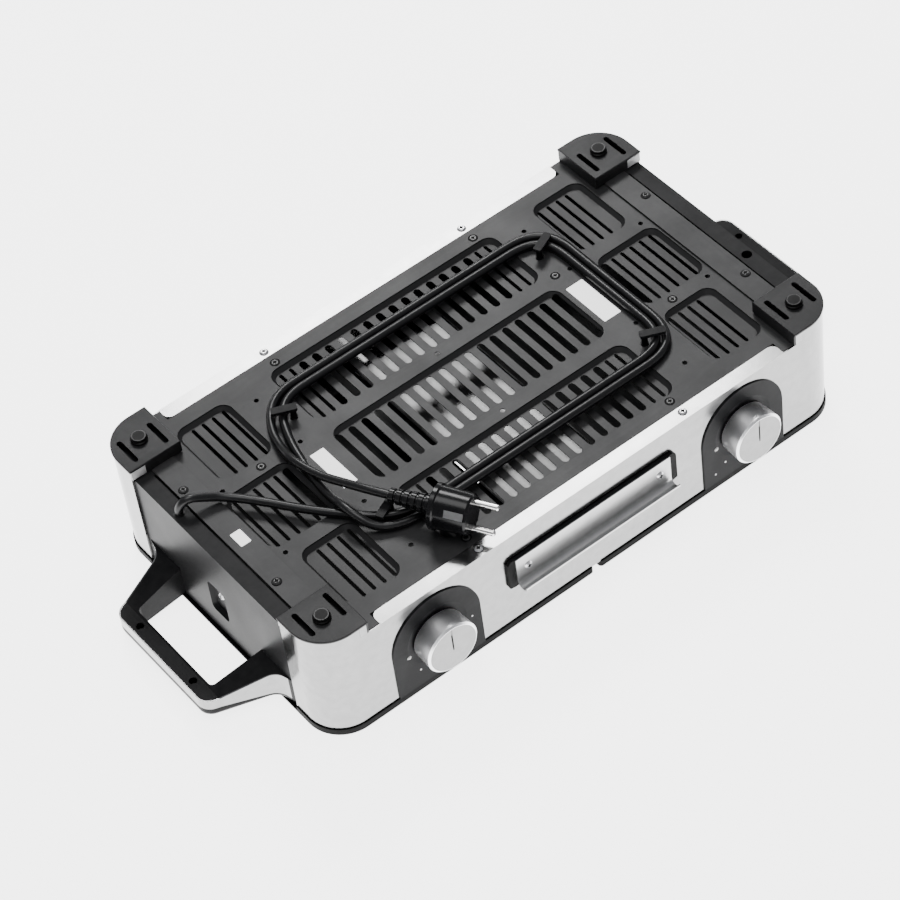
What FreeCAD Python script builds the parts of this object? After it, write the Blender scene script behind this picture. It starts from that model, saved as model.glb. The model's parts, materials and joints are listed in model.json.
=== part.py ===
import FreeCAD, Part
import Sketcher
import math
import os

V = FreeCAD.Vector

# A two-zone electric table grill, standing turned over on its grill plates.
# Millimetres. X runs along the front, the front faces -Y, Z is up.
# Z = 0 is the plane the plates' rims rest on, so the feet point up.

doc = FreeCAD.newDocument("table_grill")
sheet = doc.addObject("Spreadsheet::Sheet", "dims")

SIZES = (
    ("body_length", 492.0, "outer length of the steel body"),
    ("body_depth", 278.6, "outer depth of the steel body"),
    ("body_corner", 30.0, "outer corner radius of the steel body"),
    ("full_height", 112.5, "plate rims to foot tips"),
    ("skin", 1.0, "steel sheet of the shells and end panels"),
    ("seam_in", 45.3, "upright edge of a shell on the end face, from the front"),
    ("seam_fold", 10.0, "inward fold at a shell's upright edge"),
    ("gap", 0.3, "gap between neighbouring pieces"),
    ("running", 0.05, "radial clearance of a turning shaft"),
    ("screw_room", 0.3, "radial clearance of a screw in its hole"),
    ("rim_tall", 5.8, "height of the plate rim that shows"),
    ("rim_over", 1.0, "the rim stands this far outside the body"),
    ("plate_split", 6.0, "gap between the two grill plates"),
    ("sill_tall", 1.8, "rim left below an end panel"),
    ("base_drop", 16.0, "foot tips to the base sheet"),
    ("base_skin", 0.8, "base sheet"),
    ("ledge_deep", 12.3, "shell flange beside the base sheet"),
    ("ledge_end", 55.5, "end of that flange from the end face"),
    ("notch_end", 38.0, "end of the lowered wall from the end face"),
    ("corner_top", 106.5, "top of the steel at the corners"),
    ("strip_rise", 1.8, "end strip of the base above its middle"),
    ("strip_groove", 1.5, "open groove between an end strip and the end panel"),
    ("strip_root", 34.0, "inner edge of the end strip from the end face"),
    ("strip_edge", 17.0, "outer edge of the end strip from the end face"),
    ("panel_inset", 1.8, "end panel behind the shells"),
    ("dimple_wide", 22.0, "pressed dimple in an end panel, width"),
    ("dimple_tall", 32.0, "pressed dimple, height"),
    ("dimple_deep", 4.0, "pressed dimple, depth"),
    ("dimple_mid", 39.5, "pressed dimple, centre height"),
    ("wall_screw_up", 42.5, "screw in the dimple, height"),
    ("hole_along", 43.5, "cord hole from the centre line"),
    ("hole_in", 8.0, "cord hole from the end face"),
    ("hole_bore", 8.4, "cord hole"),
    ("press_deep", 4.3, "depth of a pressed panel"),
    ("press_run", 3.0, "sloping wall of a pressed panel, in plan"),
    ("press_corner", 10.0, "corner of a pressed panel"),
    ("row_half", 33.0, "half depth of the middle row of panels"),
    ("row_near", 46.3, "inner edge of the outer rows"),
    ("row_edge", 26.9, "outer rows from the front"),
    ("centre_half", 109.0, "half length of the centre panels"),
    ("side_in", 147.5, "inner edge of the side panels"),
    ("side_edge", 38.7, "middle side panel from the end face"),
    ("side_corner", 49.4, "corner side panels from the end face"),
    ("slot_wide", 6.0, "wide vent slot"),
    ("slot_slim", 3.0, "narrow vent slot"),
    ("slot_pitch", 12.28, "pitch of the centre slots"),
    ("slot_end", 3.7, "slot end to the panel's edge"),
    ("slim_pitch", 9.3, "pitch of the slots in a side panel"),
    ("slim_first", 6.1, "first slot of a side panel from its edge"),
    ("shell_screw_x", 96.4, "screw in a shell's flange from the middle"),
    ("shell_screw_in", 6.7, "screw in a shell's flange from the front"),
    ("base_screw_in", 21.2, "screw in the base's edge from the front"),
    ("strip_screw_in", 22.8, "screw in an end strip from the end face"),
    ("strip_screw_y", 59.0, "screw in an end strip from the centre line"),
    ("side_screw_x", 166.2, "screw between the side panels from the middle"),
    ("plain_bore", 4.0, "plain hole in the base"),
    ("hole_beside", 130.0, "plain hole beside the centre panels"),
    ("hole_outer", 96.1, "plain hole by an outer row from the centre line"),
    ("hole_from_end", 44.5, "plain hole near the end from the end face"),
    ("pad_long", 45.3, "corner pad along the front, from the end face"),
    ("pad_deep", 46.8, "corner pad along the end, from the front"),
    ("pad_lap", 1.7, "pad's plate over the steel edge"),
    ("pad_over", 0.9, "pad outside the body"),
    ("pad_wall", 2.0, "pad's wall"),
    ("pad_slot", 4.4, "slot in a pad"),
    ("foot_in_x", 23.5, "foot from the end face"),
    ("foot_in_y", 24.3, "foot from the front"),
    ("foot_tip", 12.0, "foot diameter at its tip"),
    ("foot_root", 13.5, "foot diameter at its root"),
    ("foot_step", 2.2, "height of the foot's root"),
    ("screw_head", 6.4, "screw head diameter"),
    ("screw_shank", 3.4, "screw shank diameter"),
    ("screw_dome", 1.5, "screw head height"),
    ("screw_long", 8.0, "screw shank length"),
    ("bezel_x", 146.4, "control centre from the middle"),
    ("bezel_half", 39.7, "half width of a control plate"),
    ("bezel_mid", 50.4, "centre of a control plate's arch"),
    ("bezel_thick", 1.2, "control plate"),
    ("knob_up", 50.0, "height of the knob's axis"),
    ("knob_reach", 20.5, "knob face from the steel wall"),
    ("knob_root", 43.0, "knob diameter at its skirt"),
    ("knob_face", 44.5, "knob diameter at its face"),
    ("knob_wall", 2.0, "knob wall"),
    ("knob_bevel", 1.4, "bevel round the knob face"),
    ("shaft_wide", 6.0, "thermostat shaft diameter"),
    ("lamp_wide", 3.8, "pilot lens diameter"),
    ("lamp_side", 26.5, "pilot lens beside the knob's axis"),
    ("lamp_drop", 7.0, "pilot lens below the knob's axis"),
    ("pan_half", 44.0, "half width of the juice tray"),
    ("pan_floor", 66.5, "height of the tray's floor, turned over"),
    ("pan_deep", 18.0, "depth of the tray"),
    ("pan_back", 95.0, "back of the tray from the middle"),
    ("pan_skin", 0.8, "tray sheet"),
    ("pan_rim", 6.0, "side rim of the tray"),
    ("front_half", 80.0, "half width of the tray's front"),
    ("front_low", 45.5, "lower edge of the tray's front"),
    ("front_high", 73.5, "upper edge of the tray's front"),
    ("front_thick", 2.7, "tray's front"),
    ("lip_half", 73.5, "half width of the steel tray plate"),
    ("lip_top", 72.9, "upper edge of the steel tray plate"),
    ("lip_bend", 50.5, "height where the tray plate curls out"),
    ("lip_curl", 5.2, "mean radius of the curl"),
    ("lip_skin", 1.0, "steel tray plate"),
    ("tray_screw_x", 62.8, "tray screw from the middle"),
    ("tray_screw_z", 60.8, "tray screw height"),
    ("grip_reach", 57.8, "outer side of a handle from the end panel"),
    ("grip_wide", 14.0, "width of a handle's grip"),
    ("grip_half", 57.5, "handle's outer corner along Y"),
    ("window_half", 48.2, "half length of the finger gap at the grip"),
    ("window_root", 52.0, "half length of the finger gap at the wall"),
    ("flare_half", 92.0, "handle's foot along Y"),
    ("arm_half", 76.0, "handle's arm along Y beside the wall"),
    ("handle_low", 2.8, "far side of the handle"),
    ("handle_root", 31.0, "near side of the handle at the wall"),
    ("handle_tip", 21.5, "near side of the handle at the grip"),
    ("cover_root", 7.5, "cover's seam at the wall"),
    ("cover_tip", 12.5, "cover's seam at the grip"),
    ("cover_round", 5.5, "rounded lower edge of the cover"),
    ("band_skin", 1.0, "steel band round a handle"),
    ("well_bore", 6.4, "screw well in the grip"),
    ("well_along", 34.5, "screw well along Y"),
    ("well_deep", 6.0, "screw well depth"),
    ("cord_wide", 6.8, "mains cord diameter"),
    ("turn_step", 7.4, "spacing of the wound turns"),
    ("turn_right", 135.0, "inner turn beyond the right hooks"),
    ("turn_back", 81.5, "inner turn along the rear"),
    ("turn_front", 73.8, "inner turn along the front"),
    ("hook_x", 121.0, "cord hook post, across"),
    ("hook_back", 65.5, "rear cord hook posts, along"),
    ("hook_front", 60.5, "front cord hook posts, along"),
    ("hook_long", 16.0, "cord hook's bar"),
    ("hook_wide", 4.0, "cord hook's bar width"),
    ("hook_open", 8.8, "under a cord hook's bar"),
    ("hook_thick", 2.5, "cord hook's bar thickness"),
    ("hook_foot", 6.4, "cord hook's foot diameter"),
    ("hook_shift", 2.4, "rear left cord hook nearer the middle, each way"),
    ("plug_wide", 33.0, "plug body diameter"),
    ("plug_flange", 35.2, "plug flange diameter"),
    ("plug_body", 25.0, "plug body length"),
    ("plug_lift", 0.4, "plug above the base sheet"),
    ("pin_wide", 4.8, "plug pin diameter"),
    ("pin_long", 19.0, "plug pin length"),
    ("pin_pitch", 19.0, "distance between the plug pins"),
    ("pin_root", 4.0, "pin diameter inside the plug"),
    ("pin_sunk", 8.0, "pin length inside the plug"),
    ("relief_long", 35.0, "ribbed strain relief"),
    ("rib_step", 11.0, "spacing of the grill ribs"),
    ("heater_wide", 6.5, "heating tube diameter"),
    ("heater_run", 59.3, "heating tube from the front"),
    ("heater_turn", 28.0, "bend of the heating tube"),
    ("heater_up", 17.0, "heating tube centre height"),
    ("shield_up", 26.0, "heat shield height"),
)


class Size:
    """A length or angle with the sheet formula that gives it."""

    def __init__(self, number, formula=None):
        self.number = float(number)
        self.formula = formula or ("%.6f" % self.number)

    def __float__(self):
        return self.number

    def __neg__(self):
        return Size(-self.number, "(-1 * %s)" % self.formula)

    def __add__(self, other):
        other = as_size(other)
        return Size(self.number + other.number, "(%s + %s)" % (self.formula, other.formula))

    def __sub__(self, other):
        other = as_size(other)
        return Size(self.number - other.number, "(%s - %s)" % (self.formula, other.formula))

    def __mul__(self, other):
        other = as_size(other)
        return Size(self.number * other.number, "(%s * %s)" % (self.formula, other.formula))

    def __truediv__(self, other):
        other = as_size(other)
        return Size(self.number / other.number, "(%s / %s)" % (self.formula, other.formula))

    def __radd__(self, other):
        return as_size(other) + self

    def __rsub__(self, other):
        return as_size(other) - self

    def __rmul__(self, other):
        return as_size(other) * self


def as_size(value):
    return value if isinstance(value, Size) else Size(value)


class Book:
    """The sheet's sizes by name."""


d = Book()
for row, (alias, number, note) in enumerate(SIZES, start=1):
    sheet.set("A%d" % row, alias)
    sheet.set("B%d" % row, str(number))
    sheet.set("C%d" % row, note)
    sheet.setAlias("B%d" % row, alias)
    setattr(d, alias, Size(number, "dims." + alias))
doc.recompute()

# Places that several pieces share.
half_x = d.body_length / 2
half_y = d.body_depth / 2
base_top = d.full_height - d.base_drop
base_low = base_top - d.base_skin
press_floor = base_top - d.press_deep
strip_top = base_top + d.strip_rise
band_top = strip_top - d.base_skin
panel_x = half_x - d.panel_inset
pad_top = d.corner_top + d.pad_lap
wall_in = half_y - d.skin
seam_reach = half_y - d.seam_in
ledge_half = half_x - d.ledge_end
notch_half = half_x - d.notch_end
strip_in = half_x - d.strip_root
strip_out = half_x - d.strip_edge
hole_across = half_x - d.hole_in
row_far = half_y - d.row_edge
side_out = half_x - d.side_edge
side_short = half_x - d.side_corner
pad_in = half_x - d.pad_long
pad_near = half_y - d.pad_deep
foot_x = half_x - d.foot_in_x
foot_y = half_y - d.foot_in_y
grip_out = panel_x + d.grip_reach
grip_in = grip_out - d.grip_wide
grip_mid = grip_out - d.grip_wide / 2
shell_screw_y = half_y - d.shell_screw_in
base_screw_y = half_y - d.base_screw_in
strip_screw_x = half_x - d.strip_screw_in
bezel_face = half_y + d.bezel_thick
centre_y = (d.knob_reach - d.rim_over) / 2


def set_place(obj, at, turn=None):
    if turn is not None:
        obj.Placement = FreeCAD.Placement(V(0, 0, 0), turn)
    for axis, value in zip("xyz", at):
        obj.setExpression("Placement.Base." + axis, as_size(value).formula)


def box(size, at):
    obj = doc.addObject("Part::Box", "block")
    for prop, value in zip(("Length", "Width", "Height"), size):
        obj.setExpression(prop, as_size(value).formula)
    set_place(obj, at)
    return obj


def span(x0, x1, y0, y1, z0, z1):
    """A block between two corners."""
    return box((as_size(x1) - x0, as_size(y1) - y0, as_size(z1) - z0), (x0, y0, z0))


ALONG_Z = FreeCAD.Rotation()
FRONTWARD = FreeCAD.Rotation(V(1, 0, 0), 90)
BACKWARD = FreeCAD.Rotation(V(1, 0, 0), -90)
RIGHTWARD = FreeCAD.Rotation(V(0, 1, 0), 90)
LEFTWARD = FreeCAD.Rotation(V(0, 1, 0), -90)


def rod(radius, height, at, turn=ALONG_Z):
    obj = doc.addObject("Part::Cylinder", "rod")
    obj.setExpression("Radius", as_size(radius).formula)
    obj.setExpression("Height", as_size(height).formula)
    set_place(obj, at, turn)
    return obj


def cone(r0, r1, height, at, turn=ALONG_Z):
    obj = doc.addObject("Part::Cone", "taper")
    obj.setExpression("Radius1", as_size(r0).formula)
    obj.setExpression("Radius2", as_size(r1).formula)
    obj.setExpression("Height", as_size(height).formula)
    set_place(obj, at, turn)
    return obj


def fuse(*items):
    obj = doc.addObject("Part::MultiFuse", "joined")
    obj.Shapes = list(items)
    obj.Refine = True
    return obj


def cut(base, *tools):
    obj = doc.addObject("Part::Cut", "cut")
    obj.Base = base
    obj.Tool = tools[0] if len(tools) == 1 else fuse(*tools)
    obj.Refine = True
    return obj


def common(base, tool):
    obj = doc.addObject("Part::Common", "kept")
    obj.Base = base
    obj.Tool = tool
    return obj


def mirror(source, normal):
    obj = doc.addObject("Part::Mirroring", "mirrored")
    obj.Source = source
    obj.Normal = normal
    return obj


def group(*items):
    obj = doc.addObject("Part::Compound", "set")
    obj.Links = list(items)
    return obj


def plain(shape, name="formed"):
    obj = doc.addObject("Part::Feature", name)
    obj.Shape = shape
    return obj


NODES = []


def node(label, *items):
    """One piece of the object, standing in the part's frame."""
    obj = doc.addObject("Part::Compound", label)
    obj.Links = list(items)
    obj.Label = label
    obj.setExpression("Placement.Base.y", centre_y.formula)
    NODES.append(obj)
    return obj


def draw(body, role, corners, lift=0.0):
    """A closed outline on one of the body's own planes, each corner tied to its sizes."""
    sketch = body.newObject("Sketcher::SketchObject", "outline")
    plane = [f for f in body.Origin.OriginFeatures if f.Role == role][0]
    sketch.AttachmentSupport = [(plane, "")]
    sketch.MapMode = "FlatFace"
    sketch.setExpression("AttachmentOffset.Base.z", as_size(lift).formula)
    points = [V(float(a), float(b), 0) for a, b in corners]
    count = len(points)
    for i in range(count):
        sketch.addGeometry(Part.LineSegment(points[i], points[(i + 1) % count]), False)
    for i in range(count):
        sketch.addConstraint(Sketcher.Constraint("Coincident", i, 2, (i + 1) % count, 1))
    for i, corner in enumerate(corners):
        for kind, value in zip(("DistanceX", "DistanceY"), corner):
            rule = Sketcher.Constraint(kind, -1, 1, i, 1, float(value))
            number = sketch.addConstraint(rule)
            if isinstance(value, Size):
                sketch.setExpression("Constraints[%d]" % number, value.formula)
    return sketch


def turned(name, corners):
    """A body turned about its own upright axis from a profile of radius and height."""
    body = doc.addObject("PartDesign::Body", name)
    sketch = draw(body, "XZ_Plane", corners)
    spin = body.newObject("PartDesign::Revolution", "turning")
    spin.Profile = sketch
    spin.ReferenceAxis = (sketch, ["V_Axis"])
    spin.Angle = 360.0
    return body


def padded(name, role, corners, length, lift=0.0):
    body = doc.addObject("PartDesign::Body", name)
    sketch = draw(body, role, corners, lift)
    pad = body.newObject("PartDesign::Pad", "pad")
    pad.Profile = sketch
    pad.setExpression("Length", as_size(length).formula)
    return body


def carried(body, at, turn=ALONG_Z):
    """A copy of a body's solid at a place."""
    obj = doc.addObject("Part::Compound", "placed")
    obj.Links = [body]
    set_place(obj, at, turn)
    return obj


def rounded(points, radii):
    """A closed wire through points, each corner rounded by its own radius."""
    count = len(points)
    ends = []
    for i in range(count):
        here = points[i]
        before = (points[i - 1] - here).normalize()
        after = (points[(i + 1) % count] - here).normalize()
        radius = radii[i]
        if radius <= 0:
            ends.append((here, here, None))
            continue
        half = before.getAngle(after) / 2
        back = radius / math.tan(half)
        middle = here + (before + after).normalize() * (radius / math.sin(half) - radius)
        ends.append((here + before * back, here + after * back, middle))
    edges = []
    for i in range(count):
        start, stop, middle = ends[i]
        if middle is not None:
            edges.append(Part.Arc(start, middle, stop).toShape())
        follow = ends[(i + 1) % count][0]
        if stop.distanceToPoint(follow) > 1e-6:
            edges.append(Part.LineSegment(stop, follow).toShape())
    return Part.Wire(edges)


def plan(x0, x1, y0, y1, radius, z):
    """A rounded rectangle at height z; radius may be one number or four."""
    x0, x1, y0, y1, z = (float(v) for v in (x0, x1, y0, y1, z))
    points = [V(x0, y0, z), V(x1, y0, z), V(x1, y1, z), V(x0, y1, z)]
    radii = [float(r) for r in radius] if isinstance(radius, (list, tuple)) else [float(radius)] * 4
    return rounded(points, radii)


def slab(wire, height):
    return Part.Face(wire).extrude(V(0, 0, float(height)))


def block(x0, x1, y0, y1, z0, z1):
    x0, x1, y0, y1, z0, z1 = (float(v) for v in (x0, x1, y0, y1, z0, z1))
    return Part.makeBox(x1 - x0, y1 - y0, z1 - z0, V(x0, y0, z0))


def drum(radius, height, at, axis=V(0, 0, 1)):
    return Part.makeCylinder(float(radius), float(height), V(*[float(v) for v in at]), axis)


def slot(x, y0, y1, width, z0, z1):
    """A cutter along Y whose round ends are made of short straight sides."""
    half = float(width) / 2
    sides = 6 if half > 2 else 4
    points = []
    for y, start in ((float(y0) + half, math.pi), (float(y1) - half, 0.0)):
        for i in range(sides + 1):
            angle = start + math.pi * i / sides
            points.append(V(x + half * math.cos(angle), y + half * math.sin(angle), float(z0)))
    return slab(Part.makePolygon(points + points[:1]), float(z1) - float(z0))


# Steel shells: a wall round the front or rear and its two corners.
def shell_shape(front):
    z0 = float(d.rim_tall)
    wall = slab(plan(-half_x, half_x, -half_y, half_y, d.body_corner, z0), d.corner_top - z0)
    hollow = slab(plan(-half_x + d.skin, half_x - d.skin, -half_y + d.skin, wall_in,
                       d.body_corner - d.skin, z0 - 1), d.corner_top - z0 + 2)
    wall = wall.cut(hollow)
    wall = wall.common(block(-half_x, half_x, -half_y, -seam_reach, z0, d.corner_top))
    wall = wall.cut(block(-notch_half, notch_half, -half_y - 1, -half_y + 40,
                          base_top - 0.5, d.corner_top + 1))
    parts = []
    ledge = slab(plan(-ledge_half, ledge_half, -half_y, -half_y + d.ledge_deep,
                      (0, 0, 6, 6), base_top - d.skin), d.skin)
    parts.append(ledge)
    sill = slab(plan(-half_x, half_x, -half_y, half_y, d.body_corner, z0), d.skin)
    sill_hole = slab(plan(-half_x + 8, half_x - 8, -half_y + 8, half_y - 8,
                          d.body_corner - 8, z0 - 1), 4)
    sill = sill.cut(sill_hole)
    parts.append(sill.common(block(-half_x, half_x, -half_y, -seam_reach, z0, z0 + 2)))
    for side in (-1, 1):
        xs = sorted((side * float(half_x - d.skin / 2), side * float(half_x - d.seam_fold)))
        parts.append(block(xs[0], xs[1], -seam_reach - d.skin, -seam_reach, z0, d.corner_top))
    wall = wall.multiFuse(parts).removeSplitter()
    cuts = []
    for side in (-1, 1):
        cuts.append(drum(d.screw_shank / 2 + d.screw_room, 4, (side * d.shell_screw_x, -shell_screw_y, base_top - 3)))
    if front:
        cuts.append(block(-tray_gap, tray_gap, -half_y - 1, -wall_in + 1,
                          pan_open - 3, d.pan_floor + 1.5))
        for side in (-1, 1):
            cuts.append(drum(d.shaft_wide / 2 + 2, 6, (side * d.bezel_x, -half_y - 2, d.knob_up),
                             V(0, 1, 0)))
            cuts.append(drum(d.lamp_wide / 2 + d.gap, 6,
                             (side * d.bezel_x - d.lamp_side, -half_y - 2, d.knob_up - d.lamp_drop),
                             V(0, 1, 0)))
    return wall.cut(Part.makeCompound(cuts))


pan_open = d.pan_floor - d.pan_deep
tray_gap = d.pan_half + d.pan_rim + 1.8
front_shell = plain(shell_shape(True), "front_steel")
rear_shell = plain(shell_shape(False), "rear_steel")
node("front_shell", front_shell)
node("rear_shell", mirror(rear_shell, V(0, 1, 0)))


# End panels: the same pressing twice, turned half round.
def end_panel_shape():
    reach = float(seam_reach - d.gap)
    inner = float(panel_x - d.skin)
    wall = block(inner, panel_x, -reach, reach, d.sill_tall + 0.2, band_top)
    band_y = float(pad_near - d.gap)
    band = block(strip_in + 4, panel_x, -band_y, band_y, band_top - d.skin, band_top)
    foot = block(inner - 6, panel_x, -reach + 4, reach - 4, d.rim_tall + d.gap,
                 d.rim_tall + d.gap + d.skin)
    for y in (-1, 1):
        ys = sorted((y * band_y, y * float(half_y)))
        wall = wall.cut(block(inner - 1, panel_x + 1, ys[0], ys[1], base_low - 0.4, band_top + 1))
    groove = block(strip_out + 0.3, strip_out + 0.3 + d.strip_groove, -band_y + 5, band_y - 5,
                   band_top - d.skin - 1, band_top + 1)
    band = band.cut(groove)

    def press(grow, deep):
        rings = []
        for x, less in ((panel_x, -grow), (panel_x - deep, 2.5 - grow)):
            wide = float(d.dimple_wide) / 2 - less
            tall = float(d.dimple_tall) / 2 - less
            flat = rounded([V(0, -wide, -tall), V(0, wide, -tall), V(0, wide, tall), V(0, -wide, tall)],
                           [4.0] * 4)
            flat.translate(V(float(x), 0, float(d.dimple_mid)))
            rings.append(flat)
        return Part.makeLoft(rings, True, True)

    shape = wall.multiFuse([band, foot, press(0.8, float(d.dimple_deep + d.skin))])
    shape = shape.cut(press(0.0, float(d.dimple_deep)))
    shape = shape.common(block(0, panel_x, -half_y, half_y, 0, d.full_height))
    cuts = [drum(d.hole_bore / 2, 6, (hole_across, -d.hole_along, band_top - 4))]
    cuts.append(drum(d.screw_shank / 2 + d.screw_room, 12, (panel_x - 8, 0, d.wall_screw_up), V(1, 0, 0)))
    for y in (-1, 1):
        cuts.append(drum(d.screw_shank / 2 + d.screw_room, 6, (strip_screw_x, y * d.strip_screw_y, band_top - 4)))
    return shape.cut(Part.makeCompound(cuts)).removeSplitter()


right_end = plain(end_panel_shape(), "end_steel")
node("right_end_panel", right_end)
node("left_end_panel", carried(right_end, (0, 0, 0), FreeCAD.Rotation(V(0, 0, 1), 180)))


# Base sheet: pressed panels with vent slots, joggled end strips and a lip under the shells.
def base_shape():
    z0 = float(base_low)
    t = float(d.base_skin)
    inside = slab(plan(-half_x + d.skin + d.gap, half_x - d.skin - d.gap, -wall_in + d.gap,
                       wall_in - d.gap, d.body_corner - d.skin - d.gap, z0 - 10), 30)
    middle = block(-strip_in + 2, strip_in - 2, -wall_in, wall_in, z0, base_top)
    parts = []
    ledge_y = float(half_y - d.ledge_deep - d.gap)
    ledge_x = float(ledge_half + d.gap)
    for y in (-1, 1):
        low, high = sorted((y * ledge_y, y * float(half_y + 10)))
        middle = middle.cut(block(-ledge_x, ledge_x, low, high, z0 - 1, base_top + 1))
        low, high = sorted((y * (ledge_y - 3), y * float(wall_in - 1.5)))
        lip_top = float(base_top - d.skin)
        parts.append(block(-ledge_x + 3, ledge_x - 3, low, high, lip_top - t, lip_top))
        low, high = sorted((y * (ledge_y - 3), y * (ledge_y - 2)))
        parts.append(block(-ledge_x + 3, ledge_x - 3, low, high, lip_top - t, base_top))
        for x in (-1, 1):
            xs = sorted((x * float(half_x - 46.0), x * float(half_x - 10.0 - d.gap)))
            ys = sorted((y * float(pad_near + 0.1), y * float(half_y)))
            parts.append(block(xs[0], xs[1], ys[0], ys[1], z0, base_top))
    for x in (-1, 1):
        xs = sorted((x * float(strip_in - 3), x * float(strip_out)))
        band_y = float(pad_near - d.gap)
        parts.append(block(xs[0], xs[1], -band_y, band_y, band_top, strip_top))
        xs = sorted((x * float(strip_in - 3), x * float(strip_in - 2)))
        parts.append(block(xs[0], xs[1], -band_y, band_y, z0, strip_top))
    sheet_body = middle.multiFuse(parts).common(inside)
    panels = []
    slots = []
    for x0, x1, y0, y1, xs, wides in press_table():
        panels.append((x0, x1, y0, y1))
        for x, wide in zip(xs, wides):
            slots.append(slot(x, y0 + float(d.slot_end), y1 - float(d.slot_end), wide,
                              float(press_floor) - 3, float(press_floor) + 2))
    outer = []
    inner = []
    run = float(d.press_run)
    corner = float(d.press_corner)
    for x0, x1, y0, y1 in panels:
        for store, grow, z in ((outer, 0.6, float(press_floor) - t), (inner, 0.0, float(press_floor))):
            tub = slab(plan(x0 - grow, x1 + grow, y0 - grow, y1 + grow, corner + grow, z), float(base_top) - z)
            store.append(tub.makeChamfer(run, [e for e in tub.Edges if e.BoundBox.ZMax < z + 0.01]))
    shape = sheet_body.multiFuse(outer).cut(Part.makeCompound(inner)).cut(Part.makeCompound(slots))
    holes = []
    room = float(d.screw_shank / 2 + d.screw_room)
    for x in (-1, 1):
        for y in (-1, 1):
            holes.append(drum(room, 8, (x * d.shell_screw_x, y * shell_screw_y, z0 - 4)))
            holes.append(drum(room, 6, (x * strip_screw_x, y * d.strip_screw_y, z0 - 1)))
    for x, y in BASE_SCREWS:
        holes.append(drum(room, 12, (x, y, z0 - 8)))
    for x, y in PLAIN_HOLES:
        holes.append(drum(d.plain_bore / 2, 12, (x, y, z0 - 8)))
    return shape.cut(Part.makeCompound(holes)).removeSplitter()


row_gap = (d.row_half + d.row_near) / 2
hole_end = half_x - d.hole_from_end
BASE_SCREWS = [(sx * d.shell_screw_x, sy * base_screw_y) for sx in (-1, 1) for sy in (-1, 1)]
BASE_SCREWS += [(-d.side_screw_x, row_gap), (d.centre_half + 8, row_gap + 1.9), (d.side_screw_x, -row_gap)]
PLAIN_HOLES = [(sx * d.hole_beside, sy * y) for sx in (-1, 1) for sy in (-1, 1) for y in (d.hole_outer, row_gap)]
PLAIN_HOLES += [(sx * hole_end, sy * row_gap) for sx in (-1, 1) for sy in (-1, 1)]
PLAIN_HOLES += [(0, -row_gap), (0, row_gap)]


def press_table():
    """Each pressed panel's edges with the places and widths of its slots."""
    wide = float(d.slot_wide)
    slim = float(d.slot_slim)
    pitch = float(d.slot_pitch)
    slim_pitch = float(d.slim_pitch)
    rows = [(-float(row_far), -float(d.row_near)), (-float(d.row_half), float(d.row_half)),
            (float(d.row_near), float(row_far))]
    table = []
    for y0, y1 in rows:
        if y0 < 0 < y1:
            xs = [(i - 8.5) * pitch for i in range(18)]
            wides = [wide] * 18
        else:
            xs = [(i - 6.5) * pitch for i in range(14)]
            xs += [side * (6.5 * pitch + 10.4 + i * slim_pitch) for side in (-1, 1) for i in range(2)]
            wides = [wide] * 14 + [slim] * 4
        table.append((-float(d.centre_half), float(d.centre_half), y0, y1, xs, wides))
        for side in (-1, 1):
            middle = y0 < 0 < y1
            end = float(side_out if middle else side_short)
            first = float(d.side_in + d.slim_first)
            count = int((end - 6.0 - first) / slim_pitch) + 1
            edges = sorted((side * float(d.side_in), side * end))
            xs = [side * (first + i * slim_pitch) for i in range(count)]
            wides = [wide if middle else slim] + [slim] * (count - 1)
            table.append((edges[0], edges[1], y0, y1, xs, wides))
    return table


node("base_sheet", plain(base_shape(), "vented_base"))


# Corner pads with their feet.
def pad_shape():
    over = float(d.pad_over)
    hx = float(half_x)
    hy = float(half_y)
    far_x = hx + 5
    far_y = hy + 5
    top = float(pad_top)
    region = block(pad_in, far_x, pad_near, far_y, 0, top)
    lap = slab(plan(-hx - over, hx + over, -hy - over, hy + over, float(d.body_corner) + over,
                    d.corner_top), d.pad_lap).common(region)
    lap = lap.makeFillet(0.6, [e for e in lap.Edges if e.BoundBox.ZMin > float(pad_top) - 0.01])
    less = float(d.skin) + 0.3
    core = slab(plan(-hx + less, hx - less, -hy + less, hy - less, float(d.body_corner) - less,
                     base_top), d.corner_top - base_top).common(region)
    core = core.cut(block(0, far_x, 0, float(pad_near) + 1.6, 0, float(base_top) + 1.2))
    fold = float(seam_reach + d.skin + d.gap)
    core = core.cut(block(half_x - d.seam_fold - d.gap, far_x, 0, fold, 0, d.corner_top))
    less += float(d.pad_wall)
    hole = slab(plan(-hx + less, hx - less, -hy + less, hy - less, float(d.body_corner) - less,
                     base_top - 1), d.corner_top - base_top)
    wall = float(d.pad_wall)
    hole = hole.common(block(pad_in + wall, far_x, pad_near + wall + 1.6, far_y, 0, top))
    hole = hole.cut(block(half_x - d.seam_fold - d.gap - wall, far_x, 0, fold + wall, 0, top))
    fill = block(pad_in, notch_half - d.gap, hy - 3, hy, base_top, d.corner_top)
    boss = drum(7.0, d.corner_top - base_top, (foot_x, foot_y, base_top))
    shape = core.cut(hole).multiFuse([lap, fill, boss])
    cuts = [slot(x, float(pad_near) + 5.5, float(half_y) - 15.1, d.pad_slot, float(base_top) + 4, top + 1)
            for x in (float(half_x) - 10.0, float(half_x) - 37.5)]
    cuts.append(drum(d.screw_shank / 2 + d.gap, 9, (foot_x, foot_y, pad_top - 8)))
    return shape.cut(Part.makeCompound(cuts)).removeSplitter()


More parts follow.
